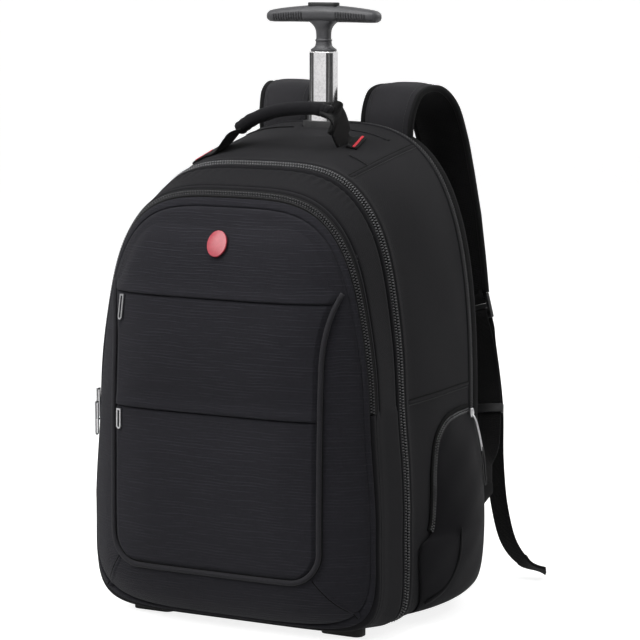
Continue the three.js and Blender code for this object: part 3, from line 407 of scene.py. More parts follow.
def surface(name, points, look, nodes=(), wrap=(False, False), inside=None, keep=None, thick=None,
            body="bag"):
    """A grid of points as a piece. Keep holds back faces by the middle of each, and thick gives it a
    wall on its inner side."""
    rows, columns = points.shape[:2]
    faces = grid_faces(rows, columns, *wrap)
    uv = grid_uv(points, *wrap).reshape(-1, 4, 2)
    if keep is not None:
        middles = points.reshape(-1, 3)[faces].mean(1)
        chosen = keep(middles)
        faces, uv = faces[chosen], uv[chosen]
    (faces,), flipped = turned_out(points, [faces], inside)
    uv = uv[:, ::-1] if flipped else uv
    piece = finish(new_mesh(name, points, [faces], uv), look, nodes, body)
    if thick:
        wall = piece.modifiers.new("Wall", "SOLIDIFY")
        wall.thickness = thick
        wall.offset = -1
    return piece


def tube(name, points, look, nodes=(), body="bag", looped=False):
    """A closed skin over rows of rings, with a fan at each end unless it is looped."""
    rows, columns = points.shape[:2]
    faces = [grid_faces(rows, columns, looped, True)]
    uv = [grid_uv(points, looped, True)]
    flat = points.reshape(-1, 3)
    if not looped:
        ends = np.stack([points[0].mean(0), points[-1].mean(0)])
        j = np.arange(columns)
        k = (j + 1) % columns
        top = (rows - 1) * columns
        first = np.stack([k, j, np.full(columns, len(flat))], -1)
        last = np.stack([top + j, top + k, np.full(columns, len(flat) + 1)], -1)
        faces.append(np.concatenate([first, last]))
        flat = np.concatenate([flat, ends])
        uv.append((flat[faces[1]][..., :2] * MM).reshape(-1, 2))
    turned, flipped = turned_out(flat, faces)
    if flipped:
        shaped = [u.reshape(-1, f.shape[1], 2)[:, ::-1].reshape(-1, 2) for u, f in zip(uv, faces)]
        uv = shaped
    return finish(new_mesh(name, flat, turned, np.concatenate(uv)), look, nodes, body)


def bead(length, width, height, taper=0.6):
    """A small block with a narrowed top: points in (along, across, up) and its faces."""
    levels = [(1, 0), (1, 0.55), (taper, 1)]
    corners = np.array([(1, 1), (-1, 1), (-1, -1), (1, -1)]) / 2
    points = np.concatenate([
        np.column_stack([corners * (length * s, width * s), np.full(4, height * up)]) for s, up in levels])
    faces = np.concatenate([grid_faces(3, 4, wrap_columns=True), [[3, 2, 1, 0], [8, 9, 10, 11]]])
    return points, faces


def studs(name, path, up, shape, pitch, look, sideways=0.0, nodes=(), body="bag"):
    """Small blocks at even steps along a path, moved sideways, standing up."""
    along = tangents(path)
    spots, ahead, upright = even(path, pitch, along, up)
    ahead = unit(ahead)
    across = unit(np.cross(upright, ahead))
    upright = np.cross(ahead, across)
    points, faces = shape
    base = spots + across * sideways
    at = (base[:, None] + ahead[:, None] * points[:, :1] + across[:, None] * points[:, 1:2]
          + upright[:, None] * points[:, 2:])
    count = len(points)
    all_faces = (np.arange(len(spots))[:, None, None] * count + faces).reshape(-1, 4)
    turned = turned_out(points, [faces])[1]
    all_faces = all_faces[:, ::-1] if turned else all_faces
    mesh = new_mesh(name, at.reshape(-1, 3), [all_faces])
    return finish(mesh, look, nodes, body)


def joined(name, pieces):
    """Several pieces made one, under a name, keeping what the first says."""
    replaced = sorted({node for piece in pieces for node in piece.get("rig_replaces", [])})
    bpy.ops.object.select_all(action="DESELECT")
    for piece in pieces:
        piece.select_set(True)
    bpy.context.view_layer.objects.active = pieces[0]
    bpy.ops.object.join()
    pieces[0].name = name
    if replaced:
        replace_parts(pieces[0], *replaced)
    return pieces[0]


def softened(name, node, width, look, body="bag", angle=32):
    """A CAD node's own mesh, merged, with its sharp edges rounded."""
    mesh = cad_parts[node].data.copy()
    mesh.name = name
    mesh.materials.clear()
    work = bmesh.new()
    work.from_mesh(mesh)
    bmesh.ops.remove_doubles(work, verts=work.verts, dist=2e-5)
    bmesh.ops.dissolve_limit(work, angle_limit=math.radians(2), verts=work.verts, edges=work.edges)
    work.to_mesh(mesh)
    work.free()
    mesh.polygons.foreach_set("use_smooth", np.ones(len(mesh.polygons), bool))
    piece = finish(mesh, look, node, body)
    bevel = piece.modifiers.new("Rounding", "BEVEL")
    bevel.width = width * MM
    bevel.segments = 3
    bevel.limit_method = "ANGLE"
    bevel.angle_limit = math.radians(angle)
    bevel.harden_normals = True
    return piece


# Body outline

def outline_values(y):
    """Values of the outline at depths y, straight between the rows of the table."""
    places = MAIN_DEPTH * np.array(OUTLINES["main"]) + FRONT_DEPTH * np.array(OUTLINES["front"])
    row = {key: np.interp(-np.asarray(y, float), places, column) for key, column in OUTLINES.items()}
    row["half"] = row["wide"] * BODY_WIDTH / 2
    row["low"] = UNDERSIDE + row["floor"] * BODY_HEIGHT
    row["middle"] = np.full_like(row["half"], UNDERSIDE + WAIST * BODY_HEIGHT)
    row["high"] = UNDERSIDE + row["top"] * BODY_HEIGHT
    return row


def half_outline(y, fine=400):
    """Right half of the outlines at depths y as x, z and a measure from 0 to 1: below the waist
    x = half sin^(2/corner) and z falls with cos^(2/corner), above it z rises with sin^(2/crown) and
    x = half (1 - taper rise) cos^(2/side). The measure counts length and turning."""
    v = {key: column[:, None] for key, column in outline_values(y).items()}
    angle = np.linspace(0, math.pi / 2, fine + 1)[None]
    sine, cosine = np.sin(angle), np.abs(np.cos(angle))
    low_x = v["half"] * sine ** (2 / v["corner"])
    low_z = v["middle"] - (v["middle"] - v["low"]) * cosine ** (2 / v["corner"])
    rise = sine ** (2 / v["crown"])
    high_x = v["half"] * (1 - v["taper"] * rise) * cosine ** (2 / v["side"])
    high_z = v["middle"] + (v["high"] - v["middle"]) * rise
    x = np.concatenate([low_x, high_x[:, 1:]], 1)
    z = np.concatenate([low_z, high_z[:, 1:]], 1)
    dx, dz = np.diff(x, axis=1), np.diff(z, axis=1)
    turn = np.abs(np.diff(np.unwrap(np.arctan2(dz, dx), axis=1), axis=1, prepend=0))
    turn[:, 0] = 0
    measure = np.concatenate([np.zeros((len(x), 1)), np.cumsum(np.hypot(dx, dz) + TURN_WEIGHT * turn, 1)], 1)
    return x, z, measure / measure[:, -1:]


def puff(y):
    inside = (y < 0) & (y > -MAIN_DEPTH)
    return np.where(inside, SIDE_PUFF * np.sin(math.pi * -y / MAIN_DEPTH), 0)


def slack(x, y, z):
    """Low broad waves of loose cloth, in millimetres: products of sines, stilled near the floor and the
    back edge."""
    waves = (0.55 * np.sin(z / 34 + y / 51 + 0.6) * np.sin(y / 24 + 1.0)
             + 0.45 * np.sin(z / 17 - y / 60 + np.abs(x) / 70))
    calm = smooth((z - 15) / 60) * smooth((-y - 2) / 30)
    return cloth().slack / MM * waves * calm


def skin(y, t, lift=0.0):
    """Points on the body's cloth and its outward directions: y holds depths, t the places round the
    outline from 0 at the bottom middle through the right side, and lift moves points outwards."""
    y = np.atleast_1d(np.asarray(y, float))
    t = np.broadcast_to(np.asarray(t, float), (len(y), np.shape(t)[-1]))
    fine_x, fine_z, measure = half_outline(y)
    along_x, along_z = np.gradient(fine_x, axis=1), np.gradient(fine_z, axis=1)
    share = 1 - np.abs(1 - 2 * t)
    side = np.where(t > 0.5, -1.0, 1.0)
    read = lambda field: np.stack([np.interp(s, m, row) for s, m, row in zip(share, measure, field)])
    x, z, ax, az = read(fine_x), read(fine_z), read(along_x), read(along_z)
    size = np.hypot(ax, az)
    nx, nz = az / size * side, -ax / size
    x = x * side
    depth = np.broadcast_to(y[:, None], x.shape)
    out = puff(depth) + slack(x, depth, z) + lift
    points = np.stack([x + nx * out, depth, z + nz * out], -1)
    normals = np.stack([nx, np.zeros_like(nx), nz], -1)
    return points, normals


def place_round(y, z=None, x=None):
    """Place t on the right side at depths y and heights z, or on the top at distances x."""
    y = np.atleast_1d(np.asarray(y, float))
    fine_x, fine_z, measure = half_outline(y)
    half = fine_x.shape[1] // 2
    if z is not None:
        z = np.broadcast_to(np.asarray(z, float), y.shape)
        found = [np.interp(target, row, m) for target, row, m in zip(z, fine_z, measure)]
    else:
        x = np.broadcast_to(np.asarray(x, float), y.shape)
        found = [np.interp(target, row[:half:-1], m[:half:-1]) for target, row, m in zip(x, fine_x, measure)]
    return np.array(found) / 2


def side_wall(y, z):
    """Half width of the side wall at a depth and a height."""
    v = outline_values(y)
    down = np.clip((v["middle"] - z) / (v["middle"] - v["low"]), 0, 1)
    up = np.clip((z - v["middle"]) / (v["high"] - v["middle"]), 0, 1)
    lower = v["half"] * (1 - down ** v["corner"]) ** (1 / v["corner"])
    upper = v["half"] * (1 - v["taper"] * up) * (1 - up ** v["crown"]) ** (1 / v["side"])
    return np.where(z < v["middle"], lower, upper) + puff(np.asarray(y, float))


def front_level(x, z):
    v = outline_values(np.array(FRONT_EDGE))
    down = np.clip((v["middle"] - z) / (v["middle"] - v["low"]), 0, 2)
    up = np.clip((z - v["middle"]) / (v["high"] - v["middle"]), 0, 2)
    lower = (np.abs(x) / v["half"]) ** v["side"] + down ** v["corner"]
    half = v["half"] * (1 - v["taper"] * np.minimum(up, 1))
    upper = (np.abs(x) / half) ** v["side"] + up ** v["crown"]
    return np.where(z < v["middle"], lower, upper)


def front_face(x, z, lift=0.0):
    """Points on the domed front and its outward directions."""
    x, z = np.asarray(x, float), np.asarray(z, float)
    depth = lambda a, b: FRONT_EDGE - FRONT_BULGE * np.maximum(0, 1 - front_level(a, b) ** FRONT_ROUNDNESS)
    step = 1.5
    slope_x = (depth(x + step, z) - depth(x - step, z)) / (2 * step)
    slope_z = (depth(x, z + step) - depth(x, z - step)) / (2 * step)
    normal = unit(np.stack([slope_x, -np.ones_like(slope_x), slope_z], -1))
    return np.stack([x, depth(x, z) - lift, z], -1), normal


def pocket_half(z, inset=0.0):
    """Half width inside the piping: a quarter circle at the bottom corners, then straight, then flaring
    with the square of the height."""
    half = POCKET_WIDTH / 2
    low = POCKET_BOTTOM + POCKET_CORNER
    corner = np.sqrt(np.maximum(0, (POCKET_CORNER - inset) ** 2 - (low - z) ** 2))
    flare = np.maximum(0, z - POCKET_FLARE["start"])
    return np.where(z < low, half - POCKET_CORNER + corner,
                    half - inset + flare ** 2 / (2 * POCKET_FLARE["radius"]))


def face_edge(z):
    """Half width of the front face at a height."""
    v = outline_values(np.array(FRONT_EDGE))
    up = np.clip((z - v["middle"]) / (v["high"] - v["middle"]), 0, 0.9999)
    down = np.clip((v["middle"] - z) / (v["middle"] - v["low"]), 0, 0.9999)
    upper = v["half"] * (1 - v["taper"] * up) * (1 - up ** v["crown"]) ** (1 / v["side"])
    lower = v["half"] * (1 - down ** v["corner"]) ** (1 / v["corner"])
    return np.where(z < v["middle"], lower, upper)


# Materials

def new_node(tree, kind, setup=None, feeds=None, **inputs):
    """A shader node. Inputs are named with underscores for spaces, feeds are given by position, and a
    socket is linked while any other value is set on the input itself."""
    item = tree.nodes.new(kind)
    for key, value in (setup or {}).items():
        setattr(item, key, value)
    pairs = [(item.inputs[key.replace("_", " ")], value) for key, value in inputs.items()]
    pairs += [(item.inputs[i], value) for i, value in enumerate(feeds or []) if value is not None]
    for socket, value in pairs:
        if isinstance(value, bpy.types.NodeSocket):
            tree.links.new(value, socket)
        else:
            socket.default_value = value
    return item


def maths(tree, operation, *feeds):
    return new_node(tree, "ShaderNodeMath", {"operation": operation}, feeds).outputs[0]


def new_group(name, inputs, outputs):
    """An empty node group with named sockets: each input is a name, a kind and a default."""
    group = bpy.data.node_groups.new(name, "ShaderNodeTree")
    for label, kind, default in inputs:
        socket = group.interface.new_socket(label, in_out="INPUT", socket_type="NodeSocket" + kind)
        if default is not None:
            socket.default_value = default
    for label, kind in outputs:
        group.interface.new_socket(label, in_out="OUTPUT", socket_type="NodeSocket" + kind)
    entry = group.nodes.new("NodeGroupInput")
    leave = group.nodes.new("NodeGroupOutput")
    return group, entry.outputs, leave.inputs


def cached(build):
    """Builds a material or a node group once, and hands it out again."""
    made = {}

    def fetch(*args):
        if (build.__name__, args) not in made:
            made[build.__name__, args] = build(*args)
        return made[build.__name__, args]
    return fetch


@cached
def weave_group():
    """Over and under threads: two sets of rounded threads, of which a chequer shows one or the other."""
    group, given, out = new_group(
        "Woven threads", [("Vector", "Vector", None), ("Pitch", "Float", 0.0007)], [("Height", "Float")])
    split = new_node(group, "ShaderNodeSeparateXYZ", Vector=given["Vector"])
    u = maths(group, "DIVIDE", split.outputs["X"], given["Pitch"])
    v = maths(group, "DIVIDE", split.outputs["Y"], given["Pitch"])
    wave = lambda s: maths(group, "SINE", maths(group, "MULTIPLY", s, math.pi))
    su, sv = wave(u), wave(v)
    twill = maths(group, "SINE", maths(group, "MULTIPLY", maths(group, "ADD", u, v), math.pi / 2))
    over = maths(group, "GREATER_THAN", twill, 0.0)
    warp = maths(group, "MULTIPLY", maths(group, "ABSOLUTE", su), over)
    weft = maths(group, "MULTIPLY", maths(group, "ABSOLUTE", sv), maths(group, "SUBTRACT", 1.0, over))
    group.links.new(maths(group, "ADD", warp, weft), out["Height"])
    return group


@cached
def rib_group():
    """Fine level ribs that fade in and out: a sine of the height, bent and masked by noise that is
    stretched along the cloth. Shade is painted shade and light: the colour is lighter on the ribs and darker
    between them."""
    group, given, out = new_group(
        "Broken ribs", [("Vector", "Vector", None), ("Pitch", "Float", 0.0029)],
        [("Height", "Float"), ("Shade", "Float")])
    stretch = new_node(group, "ShaderNodeMapping", Vector=given["Vector"], Scale=(34, 34, 520))
    patches = new_node(group, "ShaderNodeTexNoise", Vector=stretch.outputs[0], Scale=1.0, Detail=2.0)
    bend = new_node(group, "ShaderNodeTexNoise", Vector=given["Vector"], Scale=26.0, Detail=1.0)
    split = new_node(group, "ShaderNodeSeparateXYZ", Vector=given["Vector"])
    turns = maths(group, "DIVIDE", split.outputs["Z"], given["Pitch"])
    turns = maths(group, "ADD", turns, maths(group, "MULTIPLY", bend.outputs["Fac"], 1.4))
    wave = maths(group, "SINE", maths(group, "MULTIPLY", turns, TAU))
    mask = new_node(group, "ShaderNodeMapRange", {"interpolation_type": "SMOOTHSTEP"},
                    Value=patches.outputs["Fac"], From_Min=0.42, From_Max=0.62)
    height = maths(group, "MULTIPLY", maths(group, "MAXIMUM", wave, 0.0), mask.outputs[0])
    group.links.new(height, out["Height"])
    shade = maths(group, "ADD", maths(group, "MULTIPLY", height, 0.35), 0.85)
    group.links.new(shade, out["Shade"])
    return group


@cached
def tone_group():
    """Cloth colour that drifts in broad patches, with fine lighter lint. Shade multiplies it, which carries
    the shade painted in by the ribs and the spacer mesh.
    """
    group, given, out = new_group(
        "Cloth tone", [("Vector", "Vector", None), ("Colour", "Color", (0.02, 0.02, 0.02, 1)),
               ("Drift", "Float", 0.25), ("Shade", "Float", 1.0)],
        [("Colour", "Color"), ("Roughness", "Float")])
    broad = new_node(group, "ShaderNodeTexNoise", Vector=given["Vector"], Scale=9.0, Detail=3.0)
    fine = new_node(group, "ShaderNodeTexNoise", Vector=given["Vector"], Scale=420.0, Detail=2.0)
    swing = maths(group, "MULTIPLY", maths(group, "SUBTRACT", broad.outputs["Fac"], 0.5), given["Drift"])
    grain = maths(group, "MULTIPLY", maths(group, "SUBTRACT", fine.outputs["Fac"], 0.5), 0.5)
    gain = maths(group, "ADD", maths(group, "ADD", swing, grain), 1.0)
    gain = maths(group, "MULTIPLY", gain, given["Shade"])
    tint = new_node(group, "ShaderNodeVectorMath", {"operation": "SCALE"}, feeds=[given["Colour"]])
    group.links.new(gain, tint.inputs["Scale"])
    group.links.new(tint.outputs[0], out["Colour"])
    rough = maths(group, "ADD", maths(group, "MULTIPLY", fine.outputs["Fac"], 0.12), 0.78)
    group.links.new(rough, out["Roughness"])
    return group


@cached
def grain_group():
    """Moulded plastic's fine grain and its scuffed roughness."""
    group, given, out = new_group(
        "Moulded grain",
        [("Vector", "Vector", None), ("Scale", "Float", 900.0), ("Roughness", "Float", 0.45)],
        [("Height", "Float"), ("Roughness", "Float")])
    pits = new_node(group, "ShaderNodeTexVoronoi", Vector=given["Vector"], Scale=given["Scale"])
    scuffs = new_node(group, "ShaderNodeTexNoise", Vector=given["Vector"], Scale=38.0, Detail=5.0)
    group.links.new(pits.outputs["Distance"], out["Height"])
    rough = maths(group, "MULTIPLY", maths(group, "SUBTRACT", scuffs.outputs["Fac"], 0.5), 0.3)
    group.links.new(maths(group, "ADD", rough, given["Roughness"]), out["Roughness"])
    return group


def new_material(name):
    """A material with a bare Principled shader."""
    material = bpy.data.materials.new(name)
    material.use_nodes = True
    tree = material.node_tree
    return material, tree, tree.nodes["Principled BSDF"]


def bump(tree, height, strength, distance, normal=None):
    item = new_node(tree, "ShaderNodeBump", Height=height, Strength=strength, Distance=distance)
    if normal is not None:
        tree.links.new(normal, item.inputs["Normal"])
    return item.outputs[0]


def toned(tree, shader, place, colour, **inputs):
    """Feeds the base colour from the shared tone, and returns its node."""
    tone = new_node(tree, "ShaderNodeGroup", {"node_tree": tone_group()},
                    Vector=place.outputs["Object"], Colour=colour, **inputs)
    tree.links.new(tone.outputs["Colour"], shader.inputs["Base Color"])
    return tone


@cached
def woven(name, colour, pitch, depth, ribbed, sheen):
    """Woven cloth: threads on the UV map, drift of colour on object coordinates, and ribs if asked."""
    material, tree, shader = new_material(name)
    place = new_node(tree, "ShaderNodeTexCoord")
    threads = new_node(tree, "ShaderNodeGroup", {"node_tree": weave_group()},
                       Vector=place.outputs["UV"], Pitch=pitch)
    tone = toned(tree, shader, place, colour)
    normal = bump(tree, threads.outputs["Height"], 0.5, depth)
    if ribbed:
        ribs = new_node(tree, "ShaderNodeGroup", {"node_tree": rib_group()},
                        Vector=place.outputs["Object"], Pitch=cloth().rib)
        normal = bump(tree, ribs.outputs["Height"], 0.6, 0.0004, normal)
        tree.links.new(ribs.outputs["Shade"], tone.inputs["Shade"])
    tree.links.new(tone.outputs["Roughness"], shader.inputs["Roughness"])
    tree.links.new(normal, shader.inputs["Normal"])
    shader.inputs["Specular IOR Level"].default_value = 0.12
    shader.inputs["Sheen Weight"].default_value = sheen
    shader.inputs["Sheen Roughness"].default_value = 0.5
    return material


def body_cloth():
    return woven("Body twill", tuple(cloth().body_colour), cloth().thread, 0.0003, False, 0.04)


# The straps' cloth is the body twill made lighter: painted light on their tops.
def strap_lit_cloth():
    return woven("Strap twill painted light", tuple(cloth().strap_lit_colour), cloth().thread, 0.0003, False, 0.05)


def panel_cloth():
    return woven("Ribbed panel cloth", tuple(cloth().panel_colour), cloth().thread, 0.0003, True, 0.04)


def tape_cloth():
    return woven("Binding tape", tuple(cloth().trim_colour), 0.0009, 0.0003, False, 0.03)


# Near-black cloth for cords that stand in for the shade in creases and gaps: painted shade.
def painted_crease_shade():
    return woven("Shaded crease", (0.0012, 0.0012, 0.0013, 1), 0.0009, 0.0002, False, 0.0)


def webbing_cloth():
    return woven("Webbing", tuple(cloth().trim_colour), 0.0016, 0.0006, False, 0.05)


@cached
def mesh_cloth():
    """Spacer mesh: round holes on a staggered grid, with painted shade that darkens the holes."""
    material, tree, shader = new_material("Spacer mesh")
    place = new_node(tree, "ShaderNodeTexCoord")
    split = new_node(tree, "ShaderNodeSeparateXYZ", Vector=place.outputs["UV"])
    wave = lambda source, pitch: maths(tree, "SINE", maths(tree, "MULTIPLY", source, TAU / pitch))
    holes = maths(tree, "MULTIPLY", wave(split.outputs["X"], 0.0036), wave(split.outputs["Y"], 0.0036))
    depth = maths(tree, "POWER", maths(tree, "ABSOLUTE", holes), 0.6)
    # Painted shade: the colour is darker in the holes.
    shade = maths(tree, "SUBTRACT", 1.25, maths(tree, "MULTIPLY", depth, 0.8))
    toned(tree, shader, place, (0.0065, 0.0065, 0.007, 1), Shade=shade)
    shader.inputs["Roughness"].default_value = 0.9
    shader.inputs["Specular IOR Level"].default_value = 0.15
    inverse = maths(tree, "SUBTRACT", 1.0, depth)
    tree.links.new(bump(tree, inverse, 0.7, 0.0008), shader.inputs["Normal"])
    return material


@cached
def plastic(name, colour, roughness, scale):
    """Moulded plastic with fine grain."""
    material, tree, shader = new_material(name)
    place = new_node(tree, "ShaderNodeTexCoord")
    grain = new_node(tree, "ShaderNodeGroup", {"node_tree": grain_group()}, Scale=scale,
                     Vector=place.outputs["Object"], Roughness=roughness)
    toned(tree, shader, place, colour, Drift=0.12)
    tree.links.new(grain.outputs["Roughness"], shader.inputs["Roughness"])
    tree.links.new(bump(tree, grain.outputs["Height"], 0.25, 0.0002), shader.inputs["Normal"])
    shader.inputs["Specular IOR Level"].default_value = 0.4
    return material


def black_plastic():
    return plastic("Black plastic", (0.010, 0.010, 0.011, 1), 0.42, 1100.0)


def grey_plastic():
    return plastic("Grey plastic", (0.052, 0.052, 0.056, 1), 0.46, 1300.0)


def rubber():
    return plastic("Rubber", (0.012, 0.012, 0.012, 1), 0.75, 500.0)


def tooth_plastic():
    return plastic("Coil teeth", (0.050, 0.050, 0.053, 1), 0.34, 1500.0)


# Teeth given a lighter colour to paint in their glints: a painted highlight.
def teeth_painted_glint():
    return plastic("Coil teeth painted glint", (0.13, 0.13, 0.135, 1), 0.3, 1500.0)


def thread_cloth():
    return plastic("Sewing thread", (0.020, 0.020, 0.021, 1), 0.6, 1500.0)


@cached
def metal(name, colour, roughness, streak):
    """Polished metal with faint streaks along Z."""
    material, tree, shader = new_material(name)
    place = new_node(tree, "ShaderNodeTexCoord")
    stretch = new_node(tree, "ShaderNodeMapping", Vector=place.outputs["Object"], Scale=(900, 900, 6))
    streaks = new_node(tree, "ShaderNodeTexNoise", Vector=stretch.outputs[0], Scale=1.0, Detail=3.0)
    smears = new_node(tree, "ShaderNodeTexNoise", Vector=place.outputs["Object"], Scale=45.0, Detail=3.0)
    rough = maths(tree, "MULTIPLY", streaks.outputs["Fac"], streak)
    rough = maths(tree, "ADD", rough, maths(tree, "MULTIPLY", smears.outputs["Fac"], 0.08))
    tree.links.new(maths(tree, "ADD", rough, roughness), shader.inputs["Roughness"])
    toned(tree, shader, place, colour, Drift=0.08)
    shader.inputs["Metallic"].default_value = 1.0
    tree.links.new(bump(tree, streaks.outputs["Fac"], 0.08, 0.0001), shader.inputs["Normal"])
    return material


def tube_metal():
    return metal("Polished tube", (0.93, 0.92, 0.93, 1), 0.11, 0.03)


def pull_metal():
    return metal("Nickel pull", (0.46, 0.46, 0.47, 1), 0.22, 0.05)


@cached
def enamel(colour):
    """Satin enamel whose colour drifts in patches, with scuffed roughness."""
    material, tree, shader = new_material("Enamel")
    place = new_node(tree, "ShaderNodeTexCoord")
    toned(tree, shader, place, colour, Drift=0.2)
    grain = new_node(tree, "ShaderNodeGroup", {"node_tree": grain_group()}, Scale=700.0,
                     Vector=place.outputs["Object"], Roughness=0.38)
    tree.links.new(grain.outputs["Roughness"], shader.inputs["Roughness"])
    return material


# Edges of cloth panels, as rows of (distance from the edge, lift off the body)

MAIN_LIP = [(0, -2.2), (0.3, -0.6), (1.1, 0.7), (2.6, 1.25), (4.6, 1.0), (8, 0.4), (14, 0)]
FRONT_BACK_LIP = [(0, -3.2), (0.25, -1.5), (0.9, 0.1), (2.2, 1.2), (3.7, 1.5), (5.0, 0.9), (5.9, -0.6),
                  (6.5, -2.2), (7.0, -1.9), (7.5, -0.2), (8.6, 0.9), (10.8, 1.2), (14, 1.1)]
FRONT_LIP = [(0, -2.0), (0.3, 0), (1.1, 1.1), (2.6, 1.7), (4.3, 1.5), (5.3, 0.7), (6.0, -1.2), (6.5, -1.8),
             (7.0, -0.6), (8, 0.7), (10.5, 1.1), (14, 1.1)]
BACK_LIP = [(0, -1.6), (0.3, -0.2), (1.2, 0.7), (2.6, 0.9), (3.8, 0.5), (4.4, -0.3), (5, 0), (7, 0)]
RIM_LIP = [(0, -1.6), (0.3, -0.3), (0.9, 0.6), (2.0, 1.0), (3.4, 0.9), (4.4, 0.2)]


def edge_rows(profile, count=26):
    """Distances and lifts along an edge's profile."""
    line = curve(np.column_stack([profile, np.zeros(len(profile))]), np.linspace(0, 1, count))
    return line[:, 0], line[:, 1]


def section(back, front, back_lip, front_lip, pitch=3.0):
    """Depths across a panel from its back to its front edge, with the lifts of its two lips."""
    (a, high_a), (b, high_b) = edge_rows(back_lip), edge_rows(front_lip)
    count = max(4, int((back - front - a[-1] - b[-1]) / pitch))
    y = np.linspace(back - a[-1], front + b[-1], count)[1:-1]
    share = np.linspace(0, 1, count)[1:-1]
    depth = np.concatenate([back - a, y, (front + b)[::-1]])
    first = np.concatenate([high_a, high_a[-1] * (1 - share), np.zeros(len(b))])
    second = np.concatenate([np.zeros(len(a)), high_b[-1] * share, high_b[::-1]])
    return depth, first[:, None], second[:, None]


ROUND = np.linspace(0, 1, 480, endpoint=False)
BODY_MIDDLE = (0, -100, 220)


class BAG_OT_body_walls(bpy.types.Operator):
    """Sew the side walls of the main and the front compartment"""
    bl_idname = "bag.body_walls"
    bl_label = "Body walls"

    def execute(self, context):
        thick = cloth().thickness
        y, first, second = section(2.0, MAIN_ZIP + 4.3, BACK_LIP, MAIN_LIP)
        points, _ = skin(y, ROUND, first + second)
        half, behind, top = CHASSIS["half"], CHASSIS["front"], CHASSIS["top"]

        def keep(m):
            in_chassis = (np.abs(m[:, 0]) < half) & (m[:, 1] > behind) & (m[:, 2] < top)
            in_socket = (np.abs(m[:, 0]) < 17) & (m[:, 1] > POLE_DEPTH - 12) & (m[:, 2] > 300)
            return ~in_chassis & ~in_socket
        surface("main_wall", points, body_cloth(), "main_gusset", (False, True),
                BODY_MIDDLE, keep, thick)

        back, front = MAIN_ZIP - 4.2, FRONT_ZIP + 3.6
        y, first, second = section(back, front, FRONT_BACK_LIP, FRONT_LIP, 2.0)
        plain, _ = skin(y, ROUND)
        high = plain[..., 2]
        arch = smooth((high - ARCH_FOOT + 2) / 2.5)
        behind = (back - y)[:, None]
        fold = 1.3 * (1 - arch) * smooth((behind - 7) / 1.5)
        run = ROUND[None] * 1450
        ruffle = np.sin(run / 1.9 + 2.2 * np.sin(run / 23)) * (0.6 + 0.4 * np.sin(run / 31))
        ruffle = 0.75 * ruffle * hump(behind, 13, 7) * smooth((high - 330) / 70) * smooth((behind - 6.8) / 2)
        points, _ = skin(y, ROUND, first + second * arch + fold * smooth(1 - second / 9) + ruffle)
        surface("front_wall", points, body_cloth(), "front_gusset", (False, True),
                BODY_MIDDLE, None, thick)

        y = np.linspace(front + 0.8, FRONT_ZIP - 3.2, 14)
        edge = place_round(y[:1], z=ARCH_FOOT)[0]
        t = np.linspace(-edge, edge, 200) % 1.0
        points, _ = skin(y, t, 1.2 - 2.4 * hump(y, y[-1], 1.2)[:, None] - 1.6 * hump(y, y[0], 0.8)[:, None])
        surface("front_lower_wall", points, body_cloth(), "front_lower_band",
                (False, False), BODY_MIDDLE, None, thick)
        return {"FINISHED"}


def front_rows(t):
    """Rows of the front panel from its back edge over the rim and the dome to its middle."""
    distance, lift = edge_rows(RIM_LIP, 12)
    start = FRONT_ZIP - 3.0
    rows = [skin(np.array([start - d]), t, h)[0][0] for d, h in zip(distance, lift)]
    edge, normal = skin(np.array([FRONT_EDGE]), t)
    edge, normal = edge[0], normal[0]
    middle = outline_values(np.array(FRONT_EDGE))["middle"]
    # inset from the rim, lift off the face, and lift outwards
    for inset, lift, out in [(0, -0.9, -0.5), (0.6, -1.5, 0), (1.0, -1.3, 0), (1.4, -0.2, 0), (2.0, 0.5, 0),
                             (2.8, 0.8, 0), (4, 0.9, 0), (6, 0.7, 0), (8, 0.4, 0), (11, 0.2, 0), (15, 0, 0),
                             (19, 0, 0), (24, 0, 0)]:
        flat = edge - normal * (inset - out)
        rows.append(front_face(flat[:, 0], flat[:, 2], lift)[0])
    last = edge - normal * 24
    for share in np.linspace(1, 0, 60)[1:] ** 0.8:
        x, z = last[:, 0] * share, middle + (last[:, 2] - middle) * share
        rows.append(front_face(x, z)[0])
    return np.stack(rows)


def sheet_rows(low, high, columns=150, pitch=1.6):
    """Heights and places across a sheet on the front, with a rolled lower edge."""
    z = np.linspace(low, high, int((high - low) / pitch))
    edge = np.array([0, 0.15, 0.4, 0.8, 1.3])
    z = np.concatenate([low + edge, z[1:]])
    u = np.sin(np.linspace(-1, 1, columns) * math.pi / 2)
    return z, u


